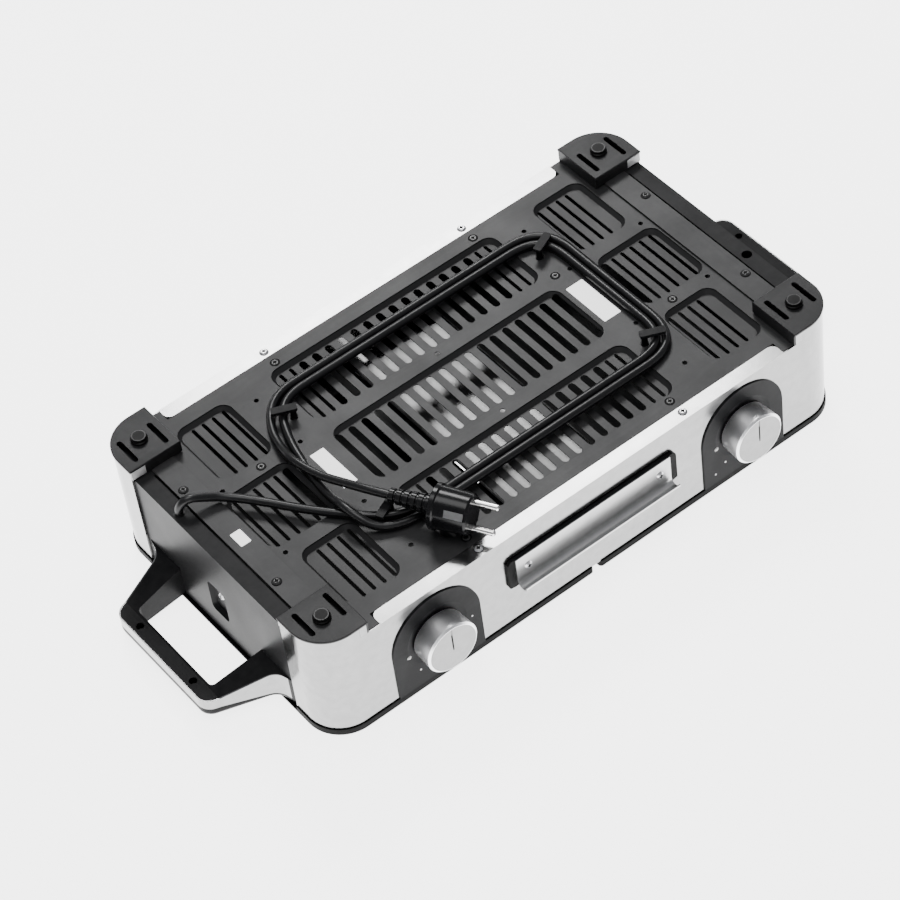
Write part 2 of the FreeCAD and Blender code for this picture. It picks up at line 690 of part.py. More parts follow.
foot = turned("foot_turning", [(0, 0), (d.foot_root / 2, 0), (d.foot_root / 2, d.foot_step - 0.4),
                               (d.foot_tip / 2, d.foot_step), (d.foot_tip / 2, d.full_height - pad_top - 0.5),
                               (d.foot_tip / 2 - 0.5, d.full_height - pad_top), (0, d.full_height - pad_top)])
foot_peg = rod(d.screw_shank / 2, 6.0, (0, 0, -6.0))
foot_whole = fuse(foot, foot_peg)
pad_master = plain(pad_shape(), "pad_moulding")
for name, sx, sy in (("front_left", -1, -1), ("front_right", 1, -1), ("rear_left", -1, 1), ("rear_right", 1, 1)):
    item = pad_master
    if sx < 0:
        item = mirror(item, V(1, 0, 0))
    if sy < 0:
        item = mirror(item, V(0, 1, 0))
    node("corner_pad_" + name, item)
    node("foot_" + name, carried(foot_whole, (sx * foot_x, sy * foot_y, pad_top)))


# Screws: a domed head and a shank, carried to each place.
def screw(name, head, dome, shank, long):
    return turned(name, [(0, -long), (shank / 2, -long), (shank / 2, 0), (head / 2, 0),
                         (head / 2, dome * 0.35), (head * 0.32, dome), (0, dome)])


strip_screw = screw("pan_screw", d.screw_head, d.screw_dome, d.screw_shank, d.screw_long)
flush_screw = turned("flush_screw", [(0, -as_size(6)), (d.screw_shank / 2, -as_size(6)), (d.screw_shank / 2, 0),
                                     (d.screw_head / 2 - 0.2, 0), (d.screw_head * 0.36, 0.6), (0, 0.6)])
places = [(sx * d.shell_screw_x, sy * shell_screw_y) for sx in (-1, 1) for sy in (-1, 1)]
node("shell_screws", *[carried(strip_screw, (x, y, base_top)) for x, y in places])
node("base_screws", *[carried(flush_screw, (x, y, base_top)) for x, y in BASE_SCREWS])
places = [(sx * strip_screw_x, sy * d.strip_screw_y) for sx in (-1, 1) for sy in (-1, 1)]
node("end_strip_screws", *[carried(strip_screw, (x, y, strip_top)) for x, y in places])
node("end_wall_screws", carried(strip_screw, (panel_x - d.dimple_deep, 0, d.wall_screw_up), RIGHTWARD),
     carried(strip_screw, (-(panel_x - d.dimple_deep), 0, d.wall_screw_up), LEFTWARD))


# Handles: a black moulding, a steel band round its outer side and a black cover.
def handle_plan(less=0.0, window=True, z=None):
    """The handle seen from above, drawn in by less; with z, only its outline at that height."""
    out = float(grip_out) - less
    half = float(d.grip_half) - less
    wall = float(panel_x)
    points = [V(wall, -float(d.flare_half) + less, 0), V(wall + 4, -float(d.arm_half) + less, 0),
              V(out, -half, 0), V(out, half, 0), V(wall + 4, float(d.arm_half) - less, 0),
              V(wall, float(d.flare_half) - less, 0)]
    radii = [0, 14, 12 - less, 12 - less, 14, 0]
    if window:
        points += [V(wall, float(d.window_root), 0), V(float(grip_in), float(d.window_half), 0),
                   V(float(grip_in), -float(d.window_half), 0), V(wall, -float(d.window_root), 0)]
        radii += [0, 4, 4, 0]
    wire = rounded(points, radii)
    if z is not None:
        wire.translate(V(0, 0, z))
        return wire
    return slab(wire, 60)


def side_profile(low_root, low_tip, top_root, top_tip):
    x0 = float(panel_x)
    x1 = float(grip_in) + 2
    x2 = float(grip_out) + 5
    points = [V(x0, -100, float(low_root)), V(x1, -100, float(low_tip)), V(x2, -100, float(low_tip)),
              V(x2, -100, float(top_tip)), V(x1, -100, float(top_tip)), V(x0, -100, float(top_root))]
    return Part.Face(Part.makePolygon(points + points[:1])).extrude(V(0, 200, 0))


whole_plan = handle_plan()
upper = side_profile(d.cover_root, d.cover_tip, d.handle_root, d.handle_tip)
lower = side_profile(d.handle_low, d.handle_low, d.cover_root, d.cover_tip)
skin_plan = handle_plan(0.0, False).cut(handle_plan(float(d.band_skin), False))
skin_plan = skin_plan.cut(block(0, float(panel_x) + 1.2, -float(d.flare_half) + 1.0,
                                float(d.flare_half) - 1.0, -1, 99))
grip = whole_plan.common(upper).cut(skin_plan)
wells = [drum(d.well_bore / 2, 40, (grip_mid, y, d.handle_tip - d.well_deep)) for y in (-d.well_along, d.well_along)]
grip = grip.cut(Part.makeCompound(wells)).removeSplitter()
belly = []
for degrees in (75, 50, 25, 0):
    angle = math.radians(degrees)
    less = float(d.cover_round) * (1 - math.cos(angle))
    belly.append(handle_plan(less, False, float(d.handle_low) + float(d.cover_round) * (1 - math.sin(angle))))
belly.append(handle_plan(0.0, False, float(d.handle_root)))
cover = whole_plan.common(lower).common(Part.makeLoft(belly, True, True)).removeSplitter()
band = skin_plan.common(upper).removeSplitter()
grip_master = plain(grip, "grip_moulding")
cover_master = plain(cover, "grip_cover")
band_master = plain(band, "grip_band")
well_screw = screw("well_screw", d.well_bore - 1.4, as_size(1.2), d.screw_shank, as_size(3))
sides = (("right", lambda item: item), ("left", lambda item: mirror(item, V(1, 0, 0))))
grip_holes = cut(grip_master, *[rod(d.screw_shank / 2 + 0.1, 4.0, (grip_mid, y, d.handle_tip - d.well_deep - 3.5))
                                for y in (-d.well_along, d.well_along)])
for side, side_of in sides:
    node("handle_grip_" + side, side_of(grip_holes))
    node("handle_cover_" + side, side_of(cover_master))
    node("handle_band_" + side, side_of(band_master))
node("handle_screws", *[carried(well_screw, (sx * grip_mid, y, d.handle_tip - d.well_deep))
                        for sx in (-1, 1) for y in (-d.well_along, d.well_along)])


# Control plates, knobs, shafts, thermostats and pilot lenses.
plate_back = half_y
plate_square = span(-d.bezel_half, d.bezel_half, -bezel_face, -plate_back, d.rim_tall + 0.2, d.bezel_mid)
plate_arch = rod(d.bezel_half, d.bezel_thick, (0, -plate_back, d.bezel_mid), FRONTWARD)
plate_dish = cone(23.0, 27.0, 0.6, (0, -bezel_face + 0.6, d.knob_up), FRONTWARD)
plate_shaft = rod(d.shaft_wide / 2 + 1.5, 8.0, (0, -plate_back + 3, d.knob_up), FRONTWARD)
plate_lamp = rod(d.lamp_wide / 2 + 0.1, 8.0, (-d.lamp_side, -plate_back + 3, d.knob_up - d.lamp_drop), FRONTWARD)
plate_master = cut(fuse(plate_square, plate_arch), plate_dish, plate_shaft, plate_lamp)

knob_deep = d.knob_reach - d.bezel_thick - 0.5
cap_in = as_size(0.8)
knob_master = turned("knob_turning", [
    (d.shaft_wide / 2 + 0.05, 3.0), (6.0, 3.0), (6.0, knob_deep - 5), (d.knob_root / 2 - d.knob_wall, knob_deep - 5),
    (d.knob_root / 2 - d.knob_wall, 0), (d.knob_root / 2, 0), (d.knob_face / 2, knob_deep - d.knob_bevel),
    (d.knob_face / 2 - d.knob_bevel, knob_deep), (d.knob_face / 2 - d.knob_bevel - 0.4, knob_deep),
    (d.knob_face / 2 - d.knob_bevel - 0.4, knob_deep - cap_in), (0, knob_deep - cap_in),
    (0, knob_deep - 4), (d.shaft_wide / 2 + 0.05, knob_deep - 4)])
cap_wide = d.knob_face / 2 - d.knob_bevel - 0.6
cap_disc = rod(cap_wide, cap_in, (0, 0, 0))
cap_line = span(-0.7, 0.7, 1.0, cap_wide + 1, cap_in / 2, cap_in + 1)
cap_master = cut(cap_disc, cap_line)
shaft_master = rod(d.shaft_wide / 2, 33.0, (0, 0, 0))
stat_box = span(-18, 18, -wall_in + 1.5, -wall_in + 26, d.knob_up - 14, d.knob_up + 14)
stat_plate = span(-24, 24, -wall_in, -wall_in + 1.5, d.knob_up - 14, d.knob_up + 14)
stat_bore = rod(d.shaft_wide / 2 + d.running, 30.0, (0, -wall_in + 16, d.knob_up), FRONTWARD)
stat_lamp = rod(d.lamp_wide / 2 + 0.2, 30.0, (-d.lamp_side, -wall_in + 16, d.knob_up - d.lamp_drop), FRONTWARD)
stat_master = cut(fuse(stat_box, stat_plate), stat_bore, stat_lamp)
lens_master = turned("lens_turning", [(0, 0), (d.lamp_wide / 2, 0), (d.lamp_wide / 2, 12.6), (d.lamp_wide * 0.3, 13.2),
                                      (0, 13.2)])
for side, sx in (("left", -1), ("right", 1)):
    x = sx * d.bezel_x
    node("bezel_" + side, carried(plate_master, (x, 0, 0)))
    node("knob_" + side, carried(knob_master, (x, -bezel_face - 0.5, d.knob_up), FRONTWARD))
    node("knob_cap_" + side, carried(cap_master, (x, -half_y - d.knob_reach + cap_in, d.knob_up), FRONTWARD))
    node("knob_shaft_" + side, carried(shaft_master, (x, -half_y - d.knob_reach + 37.1, d.knob_up), FRONTWARD))
    node("thermostat_" + side, carried(stat_master, (x, 0, 0)))
    node("pilot_lens_" + side, carried(lens_master, (x - d.lamp_side, -bezel_face - 0.6 + 13.2,
                                                     d.knob_up - d.lamp_drop), FRONTWARD))


# Juice tray: a light pan on side rails, a black front and a curled steel plate.
pan_front = half_y + 0.3
pan_wall = span(-d.pan_half, d.pan_half, -pan_front, d.pan_back, pan_open, d.pan_floor)
pan_rims = span(-d.pan_half - d.pan_rim, d.pan_half + d.pan_rim, -pan_front, d.pan_back, pan_open, pan_open + d.pan_skin)
pan_space = span(-d.pan_half + d.pan_skin, d.pan_half - d.pan_skin, -pan_front + d.pan_skin,
                 d.pan_back - d.pan_skin, pan_open - 1, d.pan_floor - d.pan_skin)
pan_whole = fuse(pan_wall, pan_rims)
pan_round = doc.addObject("Part::Fillet", "pan_bends")
pan_round.Base = pan_whole
doc.recompute()
long_edges = []
for i, edge in enumerate(pan_whole.Shape.Edges, start=1):
    b = edge.BoundBox
    if b.ZMin > float(d.pan_floor) - 0.01 and b.YLength > 100:
        long_edges.append((i, 4.0, 4.0))
    if b.ZMin > float(d.pan_floor) - 0.01 and b.XLength > 50 and b.YMax > 0:
        long_edges.append((i, 4.0, 4.0))
pan_round.Edges = long_edges
node("tray_pan", cut(pan_round, pan_space))

front_back = pan_front
front_face = padded("tray_block", "XZ_Plane",
                    [(-d.front_half, d.front_low), (-d.front_half + 4, d.front_low - 1),
                     (d.front_half - 4, d.front_low - 1), (d.front_half, d.front_low),
                     (d.front_half, d.front_high - 3), (d.front_half - 3, d.front_high),
                     (-d.front_half + 3, d.front_high), (-d.front_half, d.front_high - 3)],
                    d.front_thick, front_back)
tray_holes = [rod(d.screw_shank / 2 + 0.1, 8.0, (sx * d.tray_screw_x, -front_back - d.front_thick + 2.2,
                                                 d.tray_screw_z), FRONTWARD) for sx in (-1, 1)]
node("tray_front", cut(front_face, *tray_holes))


def lip_shape():
    """The steel plate: flat, then curled out and up like a gutter."""
    t = float(d.lip_skin)
    y0 = -float(front_back + d.front_thick)
    r = float(d.lip_curl)
    z1 = float(d.lip_bend)
    top = float(d.lip_top)
    cy = y0 - t / 2 - r

    def arc(radius):
        return Part.Arc(V(0, cy + radius, z1), V(0, cy, z1 - radius), V(0, cy - radius, z1)).toShape()

    a = r + t / 2
    b = r - t / 2
    edges = [Part.LineSegment(V(0, y0, top), V(0, y0, z1)).toShape(), arc(a),
             Part.LineSegment(V(0, cy - a, z1), V(0, cy - b, z1)).toShape(), arc(b),
             Part.LineSegment(V(0, cy + b, z1), V(0, cy + b, top)).toShape(),
             Part.LineSegment(V(0, cy + b, top), V(0, y0, top)).toShape()]
    wire = Part.Wire(Part.__sortEdges__(edges))
    shape = Part.Face(wire).extrude(V(2 * float(d.lip_half), 0, 0))
    shape.translate(V(-float(d.lip_half), 0, 0))
    return shape


lip_master = plain(lip_shape(), "curled_plate")
lip_holes = [rod(d.screw_shank / 2 + 0.1, 8.0, (sx * d.tray_screw_x, -front_back - d.front_thick + 1,
                                                d.tray_screw_z), FRONTWARD) for sx in (-1, 1)]
node("tray_plate", cut(lip_master, *lip_holes))
tray_screw = screw("tray_screw", d.screw_head, d.screw_dome, d.screw_shank, as_size(2.5))
node("tray_screws", *[carried(tray_screw, (sx * d.tray_screw_x, -front_back - d.front_thick - d.lip_skin,
                                           d.tray_screw_z), FRONTWARD) for sx in (-1, 1)])
rim_out = d.pan_half + d.pan_rim
rail_web = span(rim_out + 0.4, rim_out + 1.4, -wall_in, wall_in, pan_open - 1.3, pan_open + 2.1)
rail_low = span(rim_out - 4, rim_out + 1.4, -wall_in, wall_in, pan_open - 1.3, pan_open - 0.3)
rail_high = span(rim_out - 4, rim_out + 1.4, -wall_in, wall_in, pan_open + d.pan_skin + 0.3, pan_open + 2.1)
rail_tabs = [span(rim_out + 1.0, rim_out + 9, a, b, pan_open - 1.3, pan_open + 2.1)
             for a, b in ((-wall_in, -wall_in + 1), (wall_in - 1, wall_in))]
rail_master = fuse(rail_web, rail_low, rail_high, *rail_tabs)
node("tray_rail_right", rail_master)
node("tray_rail_left", mirror(rail_master, V(1, 0, 0)))


# Grill plates, each resting on its rim, with ribs that face down here.
def grill_shape():
    x0 = float(d.plate_split) / 2
    x1 = float(half_x + d.rim_over)
    y1 = float(half_y + d.rim_over)
    r = float(d.body_corner + d.rim_over)
    rim = slab(plan(x0, x1, -y1, y1, (3, r, r, 3), 0), d.rim_tall)
    notch = block(panel_x - d.skin - 0.4, x1 + 1, -seam_reach - 0.1, seam_reach + 0.1, d.sill_tall, 20)
    pocket = slab(plan(x0 + 7, x1 - 8, -y1 + 8, y1 - 8, (8, r - 8, r - 8, 8), -1), 4.0)
    shape = rim.cut(notch).cut(pocket)
    step = float(d.rib_step)
    count = int((x1 - x0 - 24) // step)
    first = (x0 + x1 - (count - 1) * step) / 2
    ribs = [block(first + i * step - 2.2, first + i * step + 2.2, -y1 + 16, y1 - 16, 0.8, 3.2)
            for i in range(count)]
    lip = slab(plan(x0 + 6, x1 - 15, -y1 + 10, y1 - 10, (6, 24, 24, 6), d.rim_tall), 4.0)
    lip = lip.cut(slab(plan(x0 + 9, x1 - 18, -y1 + 13, y1 - 13, (4, 21, 21, 4), 0), 30))
    shape = shape.multiFuse(ribs + [lip])
    drain = slot(x0 + 12.5, -16, 16, 5.0, -1, 12)
    return shape.cut(drain).removeSplitter()


grill_master = plain(grill_shape(), "ribbed_plate")
node("grill_plate_right", grill_master)
node("grill_plate_left", mirror(grill_master, V(1, 0, 0)))


# Heating tubes and their shields.
def swept(edges, radius, start, direction):
    path = Part.Wire(edges)
    ring = Part.Wire([Part.Circle(start, direction, float(radius)).toShape()])
    solid = path.makePipeShell([ring], True, False)
    return solid


def heater_shape():
    z = float(d.heater_up)
    y = float(half_y - d.heater_run)
    near = float(shield_in) + 12
    far = float(panel_x - d.skin)
    points = [V(far, -y, z), V(near, -y, z), V(near, y, z), V(far, y, z)]
    edges = fillet_path(points, [float(d.heater_turn)] * 2)[0]
    return swept(edges, d.heater_wide / 2, points[0], V(-1, 0, 0))


def fillet_path(points, radii):
    """Straight runs joined by tangent arcs; returns the edges and the length."""
    edges = []
    here = points[0]
    length = 0.0
    for i in range(1, len(points) - 1):
        corner = points[i]
        before = (points[i - 1] - corner).normalize()
        after = (points[i + 1] - corner).normalize()
        half = before.getAngle(after) / 2
        radius = radii[i - 1]
        back = radius / math.tan(half)
        start = corner + before * back
        stop = corner + after * back
        middle = corner + (before + after).normalize() * (radius / math.sin(half) - radius)
        edges.append(Part.LineSegment(here, start).toShape())
        edges.append(Part.Arc(start, middle, stop).toShape())
        length += (start - here).Length + radius * (math.pi - 2 * half)
        here = stop
    edges.append(Part.LineSegment(here, points[-1]).toShape())
    return edges, length + (points[-1] - here).Length


shield_in = rim_out + 8
shield_out = half_x - 32
heater_master = plain(heater_shape(), "heating_tube")
shield_flat = span(shield_in, shield_out, -wall_in + 0.3, wall_in - 0.3, d.shield_up, d.shield_up + 0.8)
shield_ends = [span(shield_in, shield_out, a, b, d.shield_up - 8, d.shield_up + 0.8)
               for a, b in ((-wall_in + 0.3, -wall_in + 1.1), (wall_in - 1.1, wall_in - 0.3))]
shield_master = fuse(shield_flat, *shield_ends)
clip_post = [span(x - 4, x + 4, sy * (half_y - d.heater_run) - 1, sy * (half_y - d.heater_run) + 1,
                  d.heater_up + d.heater_wide / 2, d.shield_up)
             for x in (shield_in + 52, shield_out - 34) for sy in (-1, 1)]
shield_whole = fuse(shield_master, *clip_post)
node("heater_right", heater_master)
node("heater_left", mirror(heater_master, V(1, 0, 0)))
node("heat_shield_right", shield_whole)
node("heat_shield_left", mirror(shield_whole, V(1, 0, 0)))
block_z = strip_top - 38
node("terminal_block", span(-(panel_x - d.skin), -(panel_x - d.skin) + 18, d.hole_along - 13, d.hole_along + 13,
                            block_z, block_z + 18))


# Cord, its hooks and the plug.
cord_r = d.cord_wide / 2
lay = float(base_top + cord_r) + 0.1
over = lay + float(d.cord_wide) + 0.8
gland_neck = rod(d.hole_bore / 2 - 0.1, 3.5, (-hole_across, d.hole_along, band_top - 3.0))
gland_nut = rod(6.5, 5.0, (-hole_across + 1.6, d.hole_along, band_top - d.skin - 5.0))
node("cord_gland", fuse(gland_neck, gland_nut))

post = rod(2.5, d.hook_open + d.hook_thick, (0, 0, 0))
flange = rod(d.hook_foot / 2, 1.0, (0, 0, 0))
arm = span(-2.5, d.hook_long - 2.5, -d.hook_wide / 2, d.hook_wide / 2, d.hook_open, d.hook_open + d.hook_thick)
hook_master = fuse(post, flange, arm)
HOOK_TURNS = ((1, 1, 25.0), (-1, 1, 155.0), (1, -1, -25.0), (-1, -1, -155.0))
hooks = []
for sx, sy, angle in HOOK_TURNS:
    x = d.hook_x
    y = d.hook_back if sy > 0 else d.hook_front
    if sx < 0 < sy:
        x = x - d.hook_shift
        y = y - d.hook_shift
    hooks.append(carried(hook_master, (sx * x, sy * y, base_top), FreeCAD.Rotation(V(0, 0, 1), angle)))
node("cord_hooks", *hooks)

right = float(d.turn_right)
back = float(d.turn_back)
front = float(d.turn_front)
step = float(d.turn_step)
hole = (-float(hole_across), float(d.hole_along), float(band_top) + 0.5)
LEAD = [hole, (hole[0], hole[1], hole[2] + 5.0), (hole[0] + 6.5, hole[1] - 2.4, hole[2] + 12.5),
        (-221.0, 37.0, 107.6), (-205, 29.5, 102.0), (-187, 9, lay),
        (-172.5, -13, lay), (-159, -31, lay), (-147, -45, lay), (-136.5, -57.5, lay), (-123.5, -67.5, lay),
        (-106, -front, lay), (-88, -front, lay)]
TURNS = [(-88, -front, lay), (right - 15, -front, lay), (right, -front + 15, lay), (right, back - 15, lay),
         (right - 15, back, lay), (-110, back, lay), (-126.5, 68.5, lay), (-137.5, 41, lay), (-142.5, 18, lay),
         (-146, -3, lay), (-147.5, -22, lay), (-149, -38, over), (-148, -54, over), (-141, -70, lay + 1.2),
         (-122, -80, lay), (-98, -front - step, lay), (right - 11, -front - step, lay),
         (right + step, -front + 12, lay), (right + step, back - 10, lay), (right - 10, back + step, lay),
         (-88, back + step, lay)]
plug_along = V(0.5, -math.sqrt(0.75), 0)
plug_axis_z = float(base_top + d.plug_flange / 2 + d.plug_lift)
plug_face = V(-88.0, -117.7, plug_axis_z)
relief_start = plug_face - plug_along * float(d.plug_body + 5.0 + d.relief_long)
last = relief_start - plug_along * 16.0
TAIL = [(-88, back + step, lay), (-112, back + step, lay), (-130, 78, lay), (-141.5, 59.5, lay),
        (-147, 38, lay + 1.7), (-150, 20, over), (-144.5, -6, over + 0.2), (-135.5, -28, 110.8),
        tuple(last), tuple(relief_start)]


def cord(points, name):
    points = [V(*[float(v) for v in p]) for p in points]
    radii = []
    for i in range(1, len(points) - 1):
        before = points[i - 1] - points[i]
        after = points[i + 1] - points[i]
        turn = math.pi - before.getAngle(after)
        radii.append(0.45 * min(before.Length, after.Length) / math.tan(turn / 2))
    edges, length = fillet_path(points, radii)
    solid = swept(edges, cord_r, points[0], points[1] - points[0])
    share = solid.Volume / (math.pi * float(cord_r) ** 2 * length)
    print(name, "length %.0f" % length, "volume share %.4f" % share, "radii", ["%.0f" % r for r in radii])
    return solid, edges, length


def least_gap(edges, width):
    """Least distance of a wound tube to itself, on points a little apart."""
    points = []
    for edge in edges:
        count = max(2, int(edge.Length / 3.0))
        points += edge.discretize(count)[:-1]
    along = [0.0]
    for a, b in zip(points, points[1:]):
        along.append(along[-1] + (b - a).Length)
    least = 1e9
    for i in range(len(points)):
        for j in range(i + 1, len(points)):
            if along[j] - along[i] > 30.0:
                least = min(least, (points[i] - points[j]).Length)
    return least - width


lead, lead_edges, lead_long = cord(LEAD, "lead")
turns, turn_edges, turns_long = cord(TURNS, "turns")
tail, tail_edges, tail_long = cord(TAIL, "tail")
print("whole cord %.0f" % (lead_long + turns_long + tail_long))
print("turns' least gap to themselves %.2f" % least_gap(turn_edges, float(d.cord_wide)))
print("shared volumes %.3f %.3f %.3f" % (lead.common(turns).Volume, turns.common(tail).Volume,
                                         lead.common(tail).Volume))
print("gaps between stretches %.2f %.2f %.2f" % (lead.distToShape(turns)[0], turns.distToShape(tail)[0],
                                                 lead.distToShape(tail)[0]))
node("cord_lead", plain(lead, "lead_tube"))
node("cord_turns", plain(turns, "wound_tube"))
node("cord_tail", plain(tail, "tail_tube"))

pin_side = V(0.521, 0.301, 0.799).normalize()
plug_turn = FreeCAD.Rotation(pin_side, V(), plug_along, "ZXY")
contact_side = plug_along.cross(pin_side)
body_r = d.plug_wide / 2
flange_r = d.plug_flange / 2
relief = [(0, 0), (cord_r + 1.6, 0)]
ribs = 6
rib_step = d.relief_long / ribs
for i in range(ribs):
    grow = 0.45 * i
    relief += [(cord_r + 2.2 + grow, rib_step * (i + 0.12)), (cord_r + 2.2 + grow, rib_step * (i + 0.72)),
               (cord_r + 1.2 + grow, rib_step * (i + 0.78)), (cord_r + 1.2 + grow, rib_step * (i + 0.98))]
relief_end = d.relief_long
flange_end = relief_end + 5.0
plug_end = flange_end + d.plug_body
plug_profile = relief + [(flange_r - 1.5, relief_end), (flange_r, relief_end + 1.0), (flange_r, flange_end - 1.0),
                         (flange_r - 1.0, flange_end), (body_r, flange_end + 0.6), (body_r - 0.8, plug_end - 1.5),
                         (body_r - 2.0, plug_end), (0, plug_end)]
plug_turning = turned("plug_turning", plug_profile)
pin_holes = [rod(d.pin_root / 2, d.pin_sunk, (sx * d.pin_pitch / 2, 0, plug_end - d.pin_sunk)) for sx in (-1, 1)]
contact_cut = [span(-3.0, 3.0, a, b, plug_end - 17.0, plug_end - 1.5 + 5)
               for a, b in ((body_r - 2.4, body_r + 5), (-body_r - 5, -body_r + 2.4))]
plug_solid = cut(plug_turning, *(pin_holes + contact_cut))
pins = group(*[fuse(rod(d.pin_root / 2, d.pin_sunk, (sx * d.pin_pitch / 2, 0, plug_end - d.pin_sunk)),
                    rod(d.pin_wide / 2, d.pin_long - 1.0, (sx * d.pin_pitch / 2, 0, plug_end)),
                    cone(d.pin_wide / 2, d.pin_wide / 2 - 0.8, 1.0,
                         (sx * d.pin_pitch / 2, 0, plug_end + d.pin_long - 1.0))) for sx in (-1, 1)])
contacts = group(*[span(-2.9, 2.9, a, b, plug_end - 16.9, plug_end - 2.2)
                   for a, b in ((body_r - 2.4, body_r - 1.0), (-body_r + 1.0, -body_r + 2.4))])
start = [as_size(v) for v in relief_start]
node("plug_body", carried(plug_solid, start, plug_turn))
node("plug_pins", carried(pins, start, plug_turn))
node("plug_earth_contacts", carried(contacts, start, plug_turn))

doc.recompute()
bad = []
for obj in doc.Objects:
    if "Invalid" in obj.State or "Error" in obj.State:
        bad.append(obj.Name + " " + str(obj.State))
for obj in NODES:
    if obj.Shape.isNull() or not obj.Shape.isValid() or not obj.Shape.Solids:
        bad.append(obj.Label + " has no sound solid")
if bad:
    raise RuntimeError("; ".join(bad))
os.makedirs("parts", exist_ok=True)
for obj in NODES:
    obj.Shape.exportStep("parts/%s.step" % obj.Label)
print(len(NODES), "pieces", sum(len(o.Shape.Solids) for o in NODES), "solids")
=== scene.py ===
# %% [markdown]
# # Table grill, turned over
# The object is a low electric table grill that lies upside down: its two grill plates face
# the table, and its vented base and four feet face up. FreeCAD has already made every rigid
# piece, so this notebook doesn't model the grill again. It dresses those solids, lays the
# mains cord along one smooth line, adds the thin marks and screw details, and sets up the
# camera, the floor and the light.
#
# ## The imported frame
# The frame holds one mesh for each CAD node, imported from model.glb with its place baked
# into its points, and the record from model.json. The dressed grill may not outgrow it.

# %% Load the frame
import json
import math

import bmesh
import bpy
from mathutils import Matrix, Vector


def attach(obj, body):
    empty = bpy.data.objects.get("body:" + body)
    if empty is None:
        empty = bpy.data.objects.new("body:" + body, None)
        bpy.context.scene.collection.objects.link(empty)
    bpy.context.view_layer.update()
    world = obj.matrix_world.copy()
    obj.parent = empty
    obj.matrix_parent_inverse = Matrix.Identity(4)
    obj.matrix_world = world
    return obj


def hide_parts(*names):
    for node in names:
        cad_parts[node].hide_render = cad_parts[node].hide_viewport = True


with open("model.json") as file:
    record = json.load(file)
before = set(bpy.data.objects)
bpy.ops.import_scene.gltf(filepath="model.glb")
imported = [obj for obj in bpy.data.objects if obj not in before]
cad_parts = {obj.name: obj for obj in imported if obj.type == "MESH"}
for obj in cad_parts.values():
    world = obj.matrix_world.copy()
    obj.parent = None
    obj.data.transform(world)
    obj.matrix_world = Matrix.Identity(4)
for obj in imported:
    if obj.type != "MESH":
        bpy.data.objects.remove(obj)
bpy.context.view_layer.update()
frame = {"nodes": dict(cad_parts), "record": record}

nodes = frame["nodes"]

# %% [markdown]
# ## From the drawing to Blender
# A drawing of a grill is in millimetres from the middle of its body, and Blender counts in
# metres. The points could all be typed in metres, but 0.0034 is harder to read than 3.4. So
# one helper turns a point of the drawing into a point of the scene. It also moves it back
# a little, because the knobs stand out at the front, and the part's middle is the middle of
# the body and the knobs together.

# %% Points and objects
MM = 0.001
BODY_BACK = 0.00975  # metres from the part's middle to the body's
BODY = "grill"
X, Y, Z = Vector((1, 0, 0)), Vector((0, 1, 0)), Vector((0, 0, 1))


def at(x, y, z):
    """A point of the drawing, in metres."""
    return Vector((x * MM, y * MM + BODY_BACK, z * MM))


def put(name, data):
    """A new object in the scene."""
    item = bpy.data.objects.new(name, data)
    bpy.context.scene.collection.objects.link(item)
    return item


print("the body's middle is at", [round(v, 5) for v in at(0, 0, 0)])

# %% [markdown]
# ## Camera
# A product picture like this one is taken through a long lens from more than two metres
# away, so the far end of the grill looks nearly as large as the near one. A camera can be
# set by eye and nudged until it fits. This one was solved from the feet, the pads and the
# body's edges instead, because the drawing gives their places, and a fit on many known
# points is right to a pixel or two. The small roll belongs to the view.

# %% Camera
FOOT_TIP = 112.5  # height of the feet's tips
AIM = at(-60.642, -55.971, FOOT_TIP)  # the point that the lens looks at
DISTANCE = 2.41314  # metres from that point
AZIMUTH, ELEVATION, ROLL = [math.radians(angle) for angle in (-31.600, 48.126, -8.619)]
SENSOR = 36.0
FOCAL_PIXELS, PICTURE_PIXELS = 3301.19, 900.0

back = Vector((math.sin(AZIMUTH) * math.cos(ELEVATION), -math.cos(AZIMUTH) * math.cos(ELEVATION),
               math.sin(ELEVATION)))
right = Vector((math.cos(AZIMUTH), math.sin(AZIMUTH), 0.0))
up = back.cross(right)
rolled_right = right * math.cos(ROLL) + up * math.sin(ROLL)
rolled_up = up * math.cos(ROLL) - right * math.sin(ROLL)

lens = bpy.data.cameras.new("camera")
lens.sensor_width = SENSOR
lens.lens = SENSOR * FOCAL_PIXELS / PICTURE_PIXELS
lens.clip_end = 50.0
camera = put("camera", lens)
turn = Matrix((rolled_right, rolled_up, back)).transposed().to_4x4()
camera.matrix_world = Matrix.Translation(AIM + back * DISTANCE) @ turn
bpy.context.scene.camera = camera
print("a lens of", round(lens.lens, 1), "mm,", DISTANCE, "m away")

# %% [markdown]
# ## Effects that the finishes share
# Brushed steel, painted sheet and moulded plastic are never quite even: each has a grain,
# and its outer edges wear first. Such detail could be painted as one picture per piece, but
# pictures need unwrapping and turn soft up close. A node group works it out from noise at
# any distance, and one group serves every finish that shows the effect. Three helpers keep
# the groups short: one starts a group, one makes a node with its values, and one draws the
# links.

# %% Helpers for node groups


def group(name, inputs, outputs):
    """An empty node group with named values going in and coming out."""
    tree = bpy.data.node_groups.new(name, "ShaderNodeTree")
    for title, value in inputs.items():
        socket = tree.interface.new_socket(title, in_out="INPUT", socket_type="NodeSocketFloat")
        socket.default_value = value
    for title in outputs:
        tree.interface.new_socket(title, in_out="OUTPUT", socket_type="NodeSocketFloat")
    return tree, tree.nodes.new("NodeGroupInput").outputs, tree.nodes.new("NodeGroupOutput").inputs


